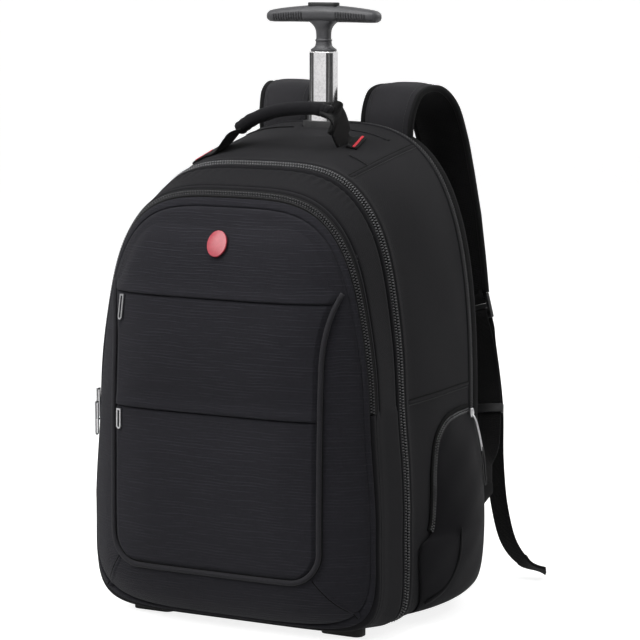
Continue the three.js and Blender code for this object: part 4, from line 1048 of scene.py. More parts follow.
class BAG_OT_front(bpy.types.Operator):
    """Sew the domed front, its pocket panels and the piping round them"""
    bl_idname = "bag.front"
    bl_label = "Front"

    def execute(self, context):
        ribbed = panel_cloth()
        thick = cloth().thickness * 0.8
        dome = front_rows(ROUND)
        surface("front_shell", dome, ribbed, "front_panel", (False, True), BODY_MIDDLE,
                None, thick)
        self.pocket("pocket_front_lower", "pocket_panel_lower", POCKET_BOTTOM + 3.2, SEAM_LOW + 3, ribbed)
        self.pocket("pocket_front_middle", "pocket_panel_middle", SEAM_LOW, SEAM_HIGH + 3, ribbed)
        self.pocket("front_top", "front_panel_top", SEAM_HIGH, 404, ribbed)
        self.piping()
        return {"FINISHED"}

    def pocket(self, name, node, low, high, look):
        """A panel on the front face: its lift swells from its edges to its middle, its lower edge folds
        over what is below it, and its top edge is tucked under the panel above."""
        lower, top = name == "pocket_front_lower", name == "front_top"
        z, u = sheet_rows(low, high)
        inset = 2.6
        half = pocket_half(z, inset)
        if top:
            half = np.minimum(half, face_edge(z) - 5)
        x = half[:, None] * u[None]
        heights = np.broadcast_to(z[:, None], x.shape)
        side = half[:, None] - np.abs(x)
        above, below = (z - low)[:, None], (high - z)[:, None]
        swell = 2.6 * smooth(side / 45) * smooth(above / 40) * smooth(below / 50)
        lift = 0.4 + 2.2 * smooth(side / 4.5) + swell
        if lower:
            lift = lift * smooth(above / 5 + 0.15)
        else:
            lift = lift + 1.5 * hump(above, 3.5, 6) - 3.2 * np.exp(-above / 0.3)
        if not top:
            lift = lift - 3.6 * smooth((4.4 - below) / 1.6) - 0.5 * smooth((9 - below) / 6)
        else:
            free = smooth((face_edge(z)[:, None] - 5 - np.abs(x)) / 22) * smooth(below / 26)
            near = smooth((z - PIPING_TOP + 12)[:, None] / 20)
            lift = blend(lift, 3.1 * free - 0.9, near)
        lift = lift + 0.3 * np.sin(x / 31 + heights / 47) * np.sin(heights / 23 + x / 90)
        points, _ = front_face(x, heights, lift)
        surface(name, points, look, node, (False, False), BODY_MIDDLE, None,
                cloth().thickness * 0.5)

    def piping(self):
        """A cord in cloth round the pocket: an ellipse carried along the pocket's outline."""
        corner = np.radians(np.linspace(0, 90, 14))
        half, low = POCKET_WIDTH / 2, POCKET_BOTTOM + POCKET_CORNER
        up = np.linspace(PIPING_TOP, low, 60)[:-1]
        x = np.concatenate([pocket_half(up), half - POCKET_CORNER + POCKET_CORNER * np.cos(corner)])
        z = np.concatenate([up, low - POCKET_CORNER * np.sin(corner)])
        across = np.linspace(half - POCKET_CORNER, 0, 30)[1:]
        x, z = np.concatenate([x, across]), np.concatenate([z, np.full(29, POCKET_BOTTOM)])
        x, z = np.concatenate([x, -x[-2::-1]]), np.concatenate([z, z[-2::-1]])
        fade = smooth((PIPING_TOP - z) / 20)
        path, normal = front_face(x, z, 1.1)
        path = path - (1 - fade)[:, None] * (0, -1.8, 0)
        radius = trim().piping / MM
        side = np.cross(normal, tangents(path))
        profile = ring(14, 2.2) * (radius * 1.1, radius)
        cord = woven("Piping cord", tuple(cloth().cord_colour), cloth().thread, 0.0003, False, 0.05)
        tube("front_piping", carry(path + normal * 0.5, side, profile), cord, "pocket_piping")
        flange = np.array([(4.6, -1.2), (3.6, 0.1), (0, 0.5), (-3.6, 0.1), (-4.6, -1.2), (0, -1.2)])
        tube("piping_tape", carry(path - normal * 1.2, side, flange), tape_cloth())


def zip_run(y, t, tilt=0.0, lift=-0.4, top_tilt=0.0, top_lift=0.0):
    """Middle line of a zipper on the body, and its outward directions leant forward by a tilt. More is
    added to the tilt and the lift where the cloth faces up."""
    points, normal = skin(np.full(len(t), float(y)), t[:, None])
    points, normal = points[:, 0], normal[:, 0]
    up = np.maximum(0, normal[:, 2:])
    lean = np.radians(tilt + top_tilt * up)
    outward = normal * np.cos(lean) - np.array((0, 1, 0)) * np.sin(lean)
    return points + normal * (lift + top_lift * up), outward


def lay_zip(name, path, up, nodes, coil=1.3, tape_half=4.6, look=None):
    """Woven tape with a coil of two rows of teeth along a path, and a row of thread on each side."""
    side = np.cross(up, tangents(path))
    tape = np.array([(1, -0.5), (1, -0.1), (0.5, 0), (-0.5, 0), (-1, -0.1), (-1, -0.5)]) * (tape_half, 1)
    pieces = [tube(name, carry(path, side, tape), tape_cloth(), nodes)]
    pitch = trim().tooth_pitch / MM
    shape = bead(pitch * 0.46, coil * 1.35, coil, 0.55)
    for k, sign in enumerate((-1, 1)):
        run = path + unit(np.gradient(path, axis=0)) * pitch / 2 * k
        pieces.append(studs(f"{name}_teeth_{k}", run, up, shape, pitch, look or tooth_plastic(),
                            sideways=sign * coil))
        line = path + unit(side) * sign * coil * 2.15 + up * 0.1
        pieces.append(tube(f"{name}_thread_{k}", carry(line, side, ring(6) * 0.3), thread_cloth()))
    return joined(name, pieces)


class BAG_OT_zippers(bpy.types.Operator):
    """Lay the zippers of the main, front and back compartments"""
    bl_idname = "bag.zippers"
    bl_label = "Zippers"

    def execute(self, context):
        whole = np.linspace(0.002, 0.998, 1000)
        # The main zipper's teeth are lighter than the front zipper's: a painted highlight.
        lay_zip("main_zip", *zip_run(MAIN_ZIP, whole, 25, -0.5, 10), "main_zipper", 1.75, 5.0, teeth_painted_glint())
        foot = place_round(np.array([FRONT_ZIP]), z=ARCH_FOOT)[0]
        arch = np.linspace(foot, 1 - foot, 800)
        lay_zip("front_zip", *zip_run(FRONT_ZIP, arch, 32, -0.6, 15, -0.7), "front_zipper", 1.3, 5.0)
        low = place_round(np.array([BACK_ZIP]), z=CHASSIS["top"] + 2)[0]
        lay_zip("back_zip", *zip_run(BACK_ZIP, np.linspace(low, 1 - low, 900)), "back_zipper", 1.0, 3.0)
        return {"FINISHED"}


def ridge(name, path, up, width=1.7, height=1.0, look=None):
    """A folded seam: a low hump carried along a path on the cloth, with a near-black cord beside it that is
    painted shade of the crease.
    """
    side = np.cross(up, tangents(path))
    hill = np.array([(2.2, -0.6), (1.4, 0.1), (0.7, 0.7), (0.1, 0.85), (-0.4, 0.6), (-0.7, -0.1),
                     (-0.9, -0.6)])
    fade = np.minimum(1, 6 * np.sin(math.pi * np.linspace(0, 1, len(path))))[:, None, None]
    fold = tube(name, carry(path, side, hill * (width, height) * blend(0.6, 1, fade)),
                look or body_cloth())
    # The crease cord is painted shade: a near-black tube laid beside the fold.
    crease = tube(name + "_crease_shade", carry(path - unit(side) * 1.5 * width / 1.7, side, ring(8) * (0.75, 0.4)),
                  painted_crease_shade())
    return joined(name, [fold, crease])


def stitches(name, path, up, sideways=0.0):
    pitch = trim().stitch / MM
    return studs(name, path, up, bead(pitch * 0.72, 0.55, 0.4, 0.7), pitch, thread_cloth(), sideways)


def wall_path(places, count=80):
    """A smooth path on the body through places of (depth, place round)."""
    line = curve(places, np.linspace(0, 1, count))
    points, normal = skin(line[:, 0], line[:, 1:2], 0.15)
    return points[:, 0], normal[:, 0]


class BAG_OT_seams(bpy.types.Operator):
    """Sew the seams that run across the walls and the front"""
    bl_idname = "bag.seams"
    bl_label = "Seams"

    def execute(self, context):
        pieces = []
        for side in (1, -1):
            for name, places in self.wall_seams().items():
                line = np.array(places, float)
                if side < 0:
                    line[:, 1] = 1 - line[:, 1]
                path, up = wall_path(line)
                label = f"{name}_{'right' if side > 0 else 'left'}"
                pieces += [ridge(label, path, up), stitches(label + "_stitch", path, up, 3.6)]
            path, up = self.corner_seam(side)
            pieces.append(ridge(f"corner_{side}", path, up, look=panel_cloth()))
        joined("wall_seams", pieces)
        return {"FINISHED"}

    def wall_seams(self):
        """Seams of the right side by name, as places of (depth, place round)."""
        at = lambda y, z: (y, place_round(np.array([y]), z=z)[0])
        return {
            "side": [at(-3, 225), at(-70, 225), at(-132, 224)],
            "shoulder": [(-3, 0.4225), (-40, 0.424), (-89, 0.4259), (-132, 0.429)],
            "handle": [(-92, 0.4262), (-92, 0.45)],
            "gusset": [(-152, 0.3748), (-188, 0.367)],
            "gusset_foot": [at(-151, ARCH_FOOT), at(-188, ARCH_FOOT)],
            "pole": [(-25, 0.44), (-25, 0.468), (-25, 0.484)],
        }

    def corner_seam(self, side):
        share = np.linspace(0, 1, 40)
        line = curve([(POCKET_WIDTH / 2 - 6, POCKET_BOTTOM + 4), (124, 44), (140, 27)], share)
        points, normal = front_face(side * line[:, 0], line[:, 1], 0.1)
        return points, normal


class BAG_OT_badge(bpy.types.Operator):
    """Make the red badge"""
    bl_idname = "bag.badge"
    bl_label = "Badge"

    def execute(self, context):
        softened("badge", "front_badge", 0.5, enamel(tuple(trim().badge_colour)))
        return {"FINISHED"}


class BAG_OT_pulls(bpy.types.Operator):
    """Finish the zipper pulls"""
    bl_idname = "bag.pulls"
    bl_label = "Zipper pulls"

    def execute(self, context):
        for node in ("pocket_pull_upper", "pocket_pull_lower", "front_zip_pull_upper",
                     "front_zip_pull_lower", "main_zip_pull"):
            softened(node + "_metal", node, 0.4, pull_metal())
        return {"FINISHED"}


class BAG_OT_back(bpy.types.Operator):
    """Make the padded back"""
    bl_idname = "bag.back"
    bl_label = "Padded back"

    def execute(self, context):
        # Depth, inset and the channel pattern of the padded back, from its front face to its middle
        floor = CHASSIS["top"] + 0.6
        rows = [(BACK_FRONT, 40), (BACK_FRONT, 1.5), (BACK_FRONT + 4, 0.4), (BACK_FRONT + 8, -0.2),
                (BACK_FRONT + 12, 0.6), (BACK_FRONT + 15, 2.8), (BACK_FRONT + 17, 6.5)]
        t = self.loop(floor)
        loops = [self.ring_at(y, inset, t, floor) for y, inset in rows]
        last = loops[-1]
        centre = np.array((0, BACK_FRONT + BACK_PAD, 262))
        shares = np.concatenate([[0.985, 0.965], np.linspace(0.94, 0.0, 70)])
        for share in shares:
            flat = centre + (last - centre) * share
            flat[:, 1] = BACK_FRONT + BACK_PAD + self.pad(flat[:, 0], flat[:, 2], share)
            loops.append(flat)
        points = np.stack(loops)
        piece = surface("back_pad", points, mesh_cloth(), "back_panel", (False, True),
                        (0, BACK_FRONT + 5, 260))
        return {"FINISHED"}

    def loop(self, floor):
        foot = place_round(np.array([BACK_FRONT]), z=floor)[0]
        return np.linspace(foot, 1 - foot, 400)

    def ring_at(self, y, inset, t, floor):
        points, _ = skin(np.array([y]), t, -inset)
        points = points[0]
        points[:, 2] = np.maximum(points[:, 2], floor)
        x = np.linspace(points[-1, 0], points[0, 0], 80)[1:-1]
        bottom = np.stack([x, np.full_like(x, y), np.full_like(x, floor)], -1)
        return np.concatenate([points, bottom])

    def pad(self, x, z, share):
        """Relief of the back: two long pads and a level one between sewn channels."""
        channels = hump(np.abs(x), 34, 4.5) + hump(z, 150, 4.5) * (np.abs(x) > 34)
        channels = np.maximum(channels, hump(z, 372, 4.5) * (np.abs(x) > 34))
        return -3.2 * np.clip(channels, 0, 1) * smooth((1 - share) / 0.06) - 0.3


def pocket_wall(y, z, front, swell=1.0):
    """Outer X of a side pocket: the wall's own X and a swell that is a product of two sines, one from
    the pocket's back to its front and one up its height."""
    back = 1.7
    across = np.clip((back - y) / (back - front), 0, 1)
    up = z / POCKET["top"]
    rise = (np.sin(math.pi * np.minimum(1, 0.22 + 0.78 * across))
            * np.sin(math.pi * np.minimum(1, 0.1 + 0.9 * up)))
    return side_wall(y, z) + 0.3 + POCKET["bulge"] * np.maximum(0, rise) ** 0.75 * swell


class BAG_OT_side_pockets(bpy.types.Operator):
    """Sew the side pockets and their curved zippers"""
    bl_idname = "bag.side_pockets"
    bl_label = "Side pockets"

    def execute(self, context):
        edge = POCKET_EDGE * (POCKET["top"], POCKET["depth"])
        share = np.linspace(0, 1, 130)
        line = curve(np.column_stack([edge[:, 0], -edge[:, 1], np.zeros(len(edge))]), share)
        z, front = line[:, 0], line[:, 1]
        w = np.linspace(0, 1, 60)
        y = 1.7 + (front[:, None] - 1.7) * w[None]
        heights = np.broadcast_to(z[:, None], y.shape)
        x = pocket_wall(y, heights, front[:, None]) + 2.0
        folds = 0.5 * np.sin(heights / 13 + y / 19) * np.sin(y / 31 + 0.4)
        folds = folds + 0.35 * np.sin(heights / 7 - y / 9)
        calm = smooth(w[None] / 0.15) * smooth((1 - w[None]) / 0.15)
        x = x + folds * calm * smooth((z[:, None] - 12) / 30)
        shell = np.stack([x, y, heights], -1)
        mouth = slice(int(130 * 3.0 / 8), None)
        top = shell[-1, ::-1][2:46:4]
        rim = curve(np.concatenate([shell[mouth, -1][::5], top]), np.linspace(0, 1, 120))
        for name, turn in SIDES:
            surface(f"pocket_{name}", shell * turn, body_cloth(), f"side_pocket_{name}",
                    (False, False), (0, -60, 100), None, cloth().thickness)
            self.mouth(name, rim, turn)
            self.seam(name, turn)
            self.pull(name, rim[-1, 2], z, front, turn)
        return {"FINISHED"}

    def seam(self, name, turn):
        """The curved seam low on the pocket."""
        line = curve([(-66, 92, 0), (-69, 60, 0), (-84, 36, 0), (-108, 23, 0)], np.linspace(0, 1, 60))
        y, z = line[:, 0], line[:, 1]
        path = np.column_stack([pocket_wall(y, z, -117.0) + 2.2, y, z])
        out = np.broadcast_to(np.array((1.0, 0, 0)), path.shape)
        ridge(f"pocket_seam_{name}", path * turn, out * turn)

    def pull(self, name, top, z, front, turn):
        """A slider with a long metal bar and a loop of cord at the zipper's upper end."""
        back = np.array((-7.0, -6.5, -5.5, -4.5))
        fall = top + np.array((-2.0, -8.0, -22.0, -40.0))
        wall = pocket_wall(back, fall, np.interp(fall, z, front))
        hang = np.column_stack([wall + (3.4, 5.2, 5.4, 5.4), back, fall])
        spot = hang[0]
        bar = curve(hang, np.linspace(0, 1, 40))
        side = np.broadcast_to((0.0, 1.0, 0.0), bar.shape)
        metal_bar = tube(f"pocket_pull_{name}", carry(bar, side, ring(12, 3) * (1.7, 0.8)) * turn,
                         pull_metal())
        block = np.array([spot + (0, 0, 4.5), spot + (0.4, 0, -4.5)])
        block = curve(block, np.linspace(0, 1, 12))
        fat = np.sin(math.pi * np.linspace(0.12, 0.88, 12))[:, None, None] ** 0.4
        slider = tube(f"slider_{name}", carry(block, side[:12], ring(16, 4)[None] * fat * (3.4, 2.0)) * turn,
                      pull_metal())
        joined(f"pocket_pull_{name}", [metal_bar, slider])
        low = hang[-1]
        loop = low + np.array([(0.4, 0, 4), (1.4, 2, -8), (1.8, 4, -24), (1.8, 6, -33), (1.6, 4, -35),
                               (1.4, 0, -24), (1.0, -2, -8), (0.4, 0, 4)])
        cord = curve(loop, np.linspace(0, 1, 90))
        out = np.broadcast_to((1.0, 0.0, 0.0), cord.shape)
        tube(f"pocket_cord_{name}", carry(cord, out, ring(8) * 0.8) * turn, thread_cloth())

    def mouth(self, name, rim, turn):
        """The zipper on the pocket's edge, with a near-black binding ahead of it that is painted shade of the
        gap there.
        """
        out = np.broadcast_to(np.array((1.0, 0, 0)), rim.shape)
        ahead = np.cross(tangents(rim), out)
        ahead = ahead * np.sign(np.sum(ahead * (0, -1, 0.3), -1))[:, None]
        band = rim + ahead * 4.6
        wall = side_wall(band[:, 1], band[:, 2]) + 0.9
        band = np.column_stack([np.maximum(wall, rim[:, 0] - 3.4), band[:, 1:]])
        # The binding is near-black to paint in the shade of the gap ahead of the zipper.
        tube(f"pocket_binding_shade_{name}", carry(band, unit(ahead), ring(12, 2.4) * (2.6, 1.2)) * turn,
             painted_crease_shade())
        line = rim + ahead * 0.9 - out * 0.2
        up = unit(out + ahead * 0.55)
        lay_zip(f"pocket_zip_{name}", line * turn, up * turn, f"side_pocket_zipper_{name}", 1.1, 3.4,
                teeth_painted_glint())


class BAG_OT_grab_handle(bpy.types.Operator):
    """Make the grab handle and its webbing"""
    bl_idname = "bag.grab_handle"
    bl_label = "Grab handle"

    radius, place = 6, -97
    # Middle line of the grip, which flops to one side: x and rise from its usual top
    lean = ((-50.3, -21), (-34, -10.5), (-10, -2), (12, 1.6), (30, 2.6), (44, 1.4), (53.5, -1.6))
    # Where each webbing lies on the bag, as (distance from the middle, y), and its tilt there
    sewn = {"right": (((54.5, -66), (60, -64), (68, -62)), 0.22),
            "left": (((70, -95), (82, -93), (95, -91)), 0.235)}

    def execute(self, context):
        surface_z = outline_values(np.array(float(self.place)))["high"]
        apex = surface_z + 33 + self.radius
        share = np.linspace(-1, 1, 90)
        rows = [(x, self.place, apex + rise) for x, rise in self.lean]
        path = curve(np.array(rows), (share + 1) / 2)
        end = np.clip((1 - np.abs(share)) / 0.06, 0, 1)
        fat = self.radius * (0.62 + 0.38 * np.sqrt(1 - (1 - end) ** 2))
        creases = 1 + 0.035 * np.sin(share * 38 + 3 * np.sin(share * 7)) * (np.abs(share) > 0.35)
        profile = ring(32, 2.3)[None] * (fat * creases)[:, None, None] * (1.3, 1.1)
        side = np.broadcast_to((0.0, 1.0, 0.0), path.shape)
        grip = tube("grip", carry(path, side, profile), body_cloth(), "grab_handle_grip")
        under = path[6:-6] + (0, -self.radius * 0.55, -self.radius * 0.8)
        stitches("grip_stitch", under, np.broadcast_to((0, -0.5, -0.85), under.shape))
        self.webbings(path)
        return {"FINISHED"}

    def webbings(self, grip):
        """Webbing from each end of the grip down to the top of the bag, where it is sewn down."""
        tack_colour = tuple(trim().tack_colour)
        for (name, turn), end in zip(SIDES, (grip[-1], grip[0])):
            spots, tilt = self.sewn[name]
            end = end * turn
            rest = [skin(np.array([y]), place_round(np.array([y]), x=x), 1.3)[0][0, 0] for x, y in spots]
            lead = (rest[0] - end) * (0.35, 0.4, 0.3)
            line = curve(np.array([end + (-7, 0, 1), end + (1, 0, -1.6), end + lead, *rest]),
                         np.linspace(0, 1, 80))
            share = np.linspace(0, 1, 80)
            wide = 17 * (0.62 + 0.38 * smooth(share / 0.3))
            side = np.array((0, 1, 0)) + smooth(share / 0.6)[:, None] * (0, 0, tilt)
            run = tangents(line)
            side = unit(side - run * np.sum(side * run, -1)[:, None])
            profile = ring(20, 5)[None] * np.stack([wide, np.full(80, 1.2)], -1)[:, None]
            normal = unit(np.cross(run, side))
            normal = normal * np.sign(normal[:, 2:])
            pieces = [tube(f"handle_strap_{name}", carry(line, side, profile) * turn,
                           webbing_cloth(), f"handle_webbing_{name}")]
            spot, across, up = line[-7], side[-7], normal[-7]
            reach = np.linspace(-16, 16, 44)[:, None]
            tack = spot + across * reach + up * 1.1
            pieces.append(studs(f"tack_{name}", tack * turn, np.repeat(up[None] * turn, 44, 0),
                                bead(1.7, 2.6, 0.8, 0.7), 1.3,
                                plastic("Bar tack thread", tack_colour, 0.6, 1500.0)))
            for edge in (-0.82, 0.82):
                seam = line[34:] + side[34:] * (wide[34:] * edge)[:, None] + normal[34:] * 1.1
                pieces.append(stitches(f"webbing_stitch_{name}", seam * turn, normal[34:] * turn))
            joined(f"handle_strap_{name}", pieces)


def strap_frame(count):
    """Middle line, side direction and section of the right shoulder strap."""
    share = np.linspace(0, 1, count)
    out, back, down = STRAP_ROWS[:, 0], STRAP_ROWS[:, 1], STRAP_ROWS[:, 2]
    top = UNDERSIDE + BODY_HEIGHT + STRAP["rise"]
    points = np.column_stack([STRAP["spread"] / 2 + out * STRAP["splay"], back * STRAP["reach"],
                              top - down * STRAP["drop"]])
    side = level(np.interp(share, np.linspace(0, 1, 5), [0, 0, -5, -10, -15]))
    return curve(points, share), side, at_share(STRAP_ROWS[:, 3:], share), points


class BAG_OT_shoulder_straps(bpy.types.Operator):
    """Sew the padded shoulder straps"""
    bl_idname = "bag.shoulder_straps"
    bl_label = "Shoulder straps"

    def execute(self, context):
        count = 150
        path, side, section, _ = strap_frame(count)
        wide = section[:, 0] * STRAP["width"] / 2 - 2.0
        thick = section[:, 1] * STRAP["thickness"] / 2
        angle = np.arange(64) * TAU / 64
        c, s = np.cos(angle), np.sin(angle)
        flat = np.sign(s) * np.abs(s) ** 0.55 * (1 - 0.55 * np.abs(c) ** 3)
        profile = np.stack([np.sign(c) * np.abs(c) ** 0.8 * wide[:, None], flat * thick[:, None]], -1)
        wrinkles = 0.25 * np.sin(np.linspace(0, 60, count))[:, None] * np.abs(s)[None]
        profile[..., 1] += wrinkles * np.sign(s)[None]
        skin_points = carry(path, side, profile)
        band = ring(14, 2.6)
        for name, turn in SIDES:
            pad = tube(f"strap_{name}", skin_points * turn, [strap_lit_cloth(), mesh_cloth()],
                       f"shoulder_strap_{name}")
            self.face_looks(pad, path * turn)
            pieces = []
            for edge in (1, -1):
                shifted = carry(path, side, (wide * edge)[:, None, None] * np.array([[1.0, 0.0]]))[:, 0]
                rim = band[None] * np.stack([np.full(count, 3.0), 0.45 * thick + 0.8], -1)[:, None]
                bound = tube(f"strap_edge_{name}_{edge}", carry(shifted, side, rim) * turn,
                             tape_cloth())
                pieces.append(bound)
                inner = (wide - 6.5) * edge
                high = thick * 0.68
                seam = carry(path, side, np.stack([inner, high], -1)[:, None])[:, 0]
                up = carry(path, side, np.array([[0.0, 1.0]]))[:, 0] - path
                outward = np.sign(np.sum(up * (path - (path[60, 0], 40, 400)), -1, keepdims=True))
                seam = seam + up * (outward - 1) * high[:, None]
                pieces.append(stitches(f"strap_stitch_{name}", seam[4:-2] * turn, (up * outward)[4:-2] * turn))
            joined(f"strap_binding_{name}", pieces)
        return {"FINISHED"}

    def face_looks(self, pad, path):
        """Gives the faces on the strap's inner side the mesh: those that look towards the loop's middle."""
        mesh = pad.data
        count = len(mesh.polygons)
        normal = np.empty(count * 3)
        centre = np.empty(count * 3)
        mesh.polygons.foreach_get("normal", normal)
        mesh.polygons.foreach_get("center", centre)
        hub = placed(np.array((path[60, 0], 40, 400)))
        inward = np.sum(normal.reshape(-1, 3) * (hub - centre.reshape(-1, 3)), -1) > 0
        mesh.polygons.foreach_set("material_index", inward.astype(np.int32))


class BAG_OT_strap_webbing(bpy.types.Operator):
    """Thread the webbing through its buckles, and finish the buckles, loops and tabs"""
    bl_idname = "bag.strap_webbing"
    bl_label = "Strap webbing"

    def execute(self, context):
        path, side = self.run()
        share = np.linspace(0, 1, 360)
        line = curve(path, share)
        sides = at_share(side, share)
        profile = ring(14, 6) * (WEBBING["width"] / 2, WEBBING["thickness"] / 2)
        ribbon = carry(line, sides, profile)
        fold = ring(14, 5) * (WEBBING["width"] / 2 + 0.3, WEBBING["thickness"] * 1.1)
        hem = carry(line[-26:], sides[-26:], fold)
        for name, turn in SIDES:
            pieces = [tube(f"webbing_{name}", ribbon * turn, webbing_cloth(),
                           f"strap_webbing_{name}"),
                      tube(f"hem_{name}", hem * turn, webbing_cloth())]
            joined(f"webbing_run_{name}", pieces)
            tube(f"strap_loop_{name}", self.loop() * turn, webbing_cloth())
            softened(f"buckle_{name}", f"ladder_lock_{name}", 1.2, black_plastic())
            softened(f"keeper_{name}", f"webbing_keeper_{name}", 0.8, black_plastic())
            softened(f"anchor_{name}", f"anchor_tab_{name}", 0.5, webbing_cloth())
        return {"FINISHED"}

    def buckle_frame(self):
        """Centre, width direction, outward direction and downward direction of the right buckle."""
        _, _, _, strap = strap_frame(11)
        end, before = strap[-1], strap[-2]
        down = unit(end - before)
        across = level(-15.0)
        across = unit(across - down * np.dot(across, down))
        outward = -np.cross(across, down)
        outward = -outward if outward[1] < 0 else outward
        return end + down * (0.3 + BUCKLE["height"] / 2), across, outward, down

    def loop(self):
        """A loop of webbing from the strap's end round the buckle's upper bar."""
        centre, across, outward, down = self.buckle_frame()
        bar = BUCKLE["height"] / 2
        reach = BUCKLE["thickness"] / 2 + 1.1
        spots = [(0.8, -bar - 14), (reach * 0.8, -bar - 4), (reach, -bar), (reach, -bar + 4.5),
                 (0, -3.3), (-reach, -bar + 4.5), (-reach, -bar), (-reach * 0.8, -bar - 4),
                 (-0.8, -bar - 14)]
        line = curve(np.array([centre + outward * out + down * low for out, low in spots]),
                     np.linspace(0, 1, 70))
        return carry(line, np.repeat(across[None], 70, 0), ring(14, 6) * (12, 0.8))

    def run(self):
        """Points of the webbing from its anchor round the buckle's bar to its free end, and the
        direction of its width at each."""
        centre, across, outward, down = self.buckle_frame()
        end = strap_frame(11)[3][-1]
        place = lambda rows: np.column_stack([rows[:, 0] * BODY_WIDTH / 2, rows[:, 1] * STRAP["reach"],
                                              rows[:, 2] * end[2]])
        bar = BUCKLE["height"] / 2 - BUCKLE["bar"]
        reach = BUCKLE["thickness"] / 2 + WEBBING["thickness"] / 2 + 0.3
        spots = [(-reach, BUCKLE["height"] / 2 + 2), (-reach, bar), (0, 3.3), (reach, bar),
                 (reach, BUCKLE["height"] / 2 + 2)]
        turn = np.array([centre + outward * out + down * low for out, low in spots])
        lower = place(LOWER_ROWS)
        root = lower[:1] - unit(lower[1:2] - lower[:1]) * 6
        path = np.concatenate([root, lower, turn, place(TAIL_ROWS)])
        side = np.concatenate([level(LOWER_ROWS[:1, 3]), level(LOWER_ROWS[:, 3]),
                               np.repeat(across[None], 5, 0), level(TAIL_ROWS[:, 3])])
        return path, side


# Sections of the T handle's bar from its middle to an end: along, high and deep are shares of its half
# sizes. Those of its neck go up from the tube: z, half width and half depth.
BAR = {"half": 63, "high": 8.8, "deep": 12, "z": 590, "droop": 3.08}
BAR_ROWS = [(0, 1, 1), (0.3, 0.94, 1), (0.55, 0.86, 1), (0.75, 0.79, 0.97), (0.88, 0.72, 0.9),
            (0.94, 0.65, 0.8), (0.975, 0.5, 0.62), (0.995, 0.25, 0.34), (1, 0.02, 0.02)]
NECK_ROWS = [(552.3, 12.9, 8.7), (554.4, 12.9, 8.7), (555.2, 11.6, 7.8), (557.5, 8.6, 6.8), (560, 7.8, 6.4),
             (562.4, 7.7, 6.3), (562.9, 8.2, 6.8), (563.9, 8.2, 6.8), (564.4, 7.4, 6.2), (569, 7.2, 6.2),
             (574, 7.8, 6.8), (578, 10, 8), (582, 15, 9), (587, 23, 9)]


class BAG_OT_trolley(bpy.types.Operator):
    """Finish the telescoping tubes, the T handle and its button"""
    bl_idname = "bag.trolley"
    bl_label = "Trolley handle"

    def execute(self, context):
        softened("socket", "pole_socket", 0.8, black_plastic())
        softened("tube_outer", "outer_tube", 0.2, tube_metal())
        softened("tube_middle", "middle_tube", 0.2, tube_metal(), "pole_middle")
        softened("collar", "middle_collar", 0.4, black_plastic(), "pole_middle")
        softened("tube_inner", "inner_tube", 0.2, tube_metal(), "pole_upper")
        softened("button", "handle_button", 0.8, black_plastic(), "button")
        # half width and half depth of a tube, its ends and its body
        self.strips("inner", 12.75, 8.5, 151, 551, "pole_upper")
        self.strips("middle", 14.25, 10, 91, 498.5, "pole_middle")
        bar = tube("t_bar", self.bar(), grey_plastic(), "trolley_handle", "pole_upper")
        neck = tube("t_neck", self.neck(), grey_plastic(), (), "pole_upper")
        joined("t_bar", [bar, neck])
        return {"FINISHED"}

    def strips(self, name, half, deep, low, high, body):
        """Dark strips down the front corners of a tube: an arc a hair proud of the corner."""
        turn = np.linspace(0, math.pi / 2, 9)
        arc = np.column_stack([half - 3 + 3.12 * np.cos(turn), -deep + 3 - 3.12 * np.sin(turn)])
        outer = np.concatenate([[(half + 0.12, -deep + 4.4)], arc, [(half - 5.6, -deep - 0.12)]])
        inner = (outer - (half - 4, -deep + 4)) * 0.9 + (half - 4, -deep + 4)
        section = np.concatenate([outer, inner[::-1]])
        pieces = []
        for sign in (1, -1):
            rows = [np.column_stack([section * (sign, 1) + (0, POLE_DEPTH), np.full(len(section), z)])
                    for z in np.linspace(low, high, 5)]
            pieces.append(tube(f"strip_{name}_{sign}", np.stack(rows), black_plastic(), (),
                               body))
        joined(f"strip_{name}", pieces)

    def bar(self):
        """Superellipses along X. Grip ribs are a sine along the bar, cut into its lower front and back,
        and a flat-bottomed pocket holds the button."""
        count, around = 460, 60
        share = np.sin(np.linspace(-1, 1, count) * math.pi / 2)
        rows = np.array(BAR_ROWS)
        high, deep = (np.interp(np.abs(share), rows[:, 0], rows[:, k]) for k in (1, 2))
        x = share * BAR["half"]
        centre = BAR["z"] - BAR["droop"] * share ** 2
        section = ring(around, 2.5)
        ribs = smooth((0.1 - np.cos(TAU * (np.abs(x) - 18) / 2.9)) / 0.5)
        zone = (np.abs(x) > 18) & (np.abs(x) < 53)
        low = smooth((0.25 - section[:, 1]) / 0.25) * smooth((section[:, 1] + 0.92) / 0.1)
        cut = 1.5 * ribs[:, None] * zone[:, None] * low[None]
        y = section[None, :, 0] * (BAR["deep"] * deep[:, None] - cut)
        z = section[None, :, 1] * (BAR["high"] * high[:, None] - 0.3 * cut)
        pocket = (np.abs(x)[:, None] < 17.6) & (np.abs(y) < 6.6)
        z = np.where(pocket & (z > 0), np.minimum(z, 593.9 - centre[:, None]), z)
        return np.stack([np.repeat(x[:, None], around, 1), POLE_DEPTH + y, centre[:, None] + z], -1)

    def neck(self):
        """Superellipses up the neck, with a ring round its lower half."""
        rows = np.array(NECK_ROWS)
        line = curve(rows[:, [1, 2, 0]], np.linspace(0, 1, 70))
        section = ring(40, 3.0)
        points = section[None] * line[:, None, :2]
        return np.concatenate([points + (0, POLE_DEPTH), np.repeat(line[:, None, 2:], 40, 1)], -1)


WHEEL = {"x": 118, "y": 2, "z": 27, "radius": 27, "half": 11, "hub": 17.7}


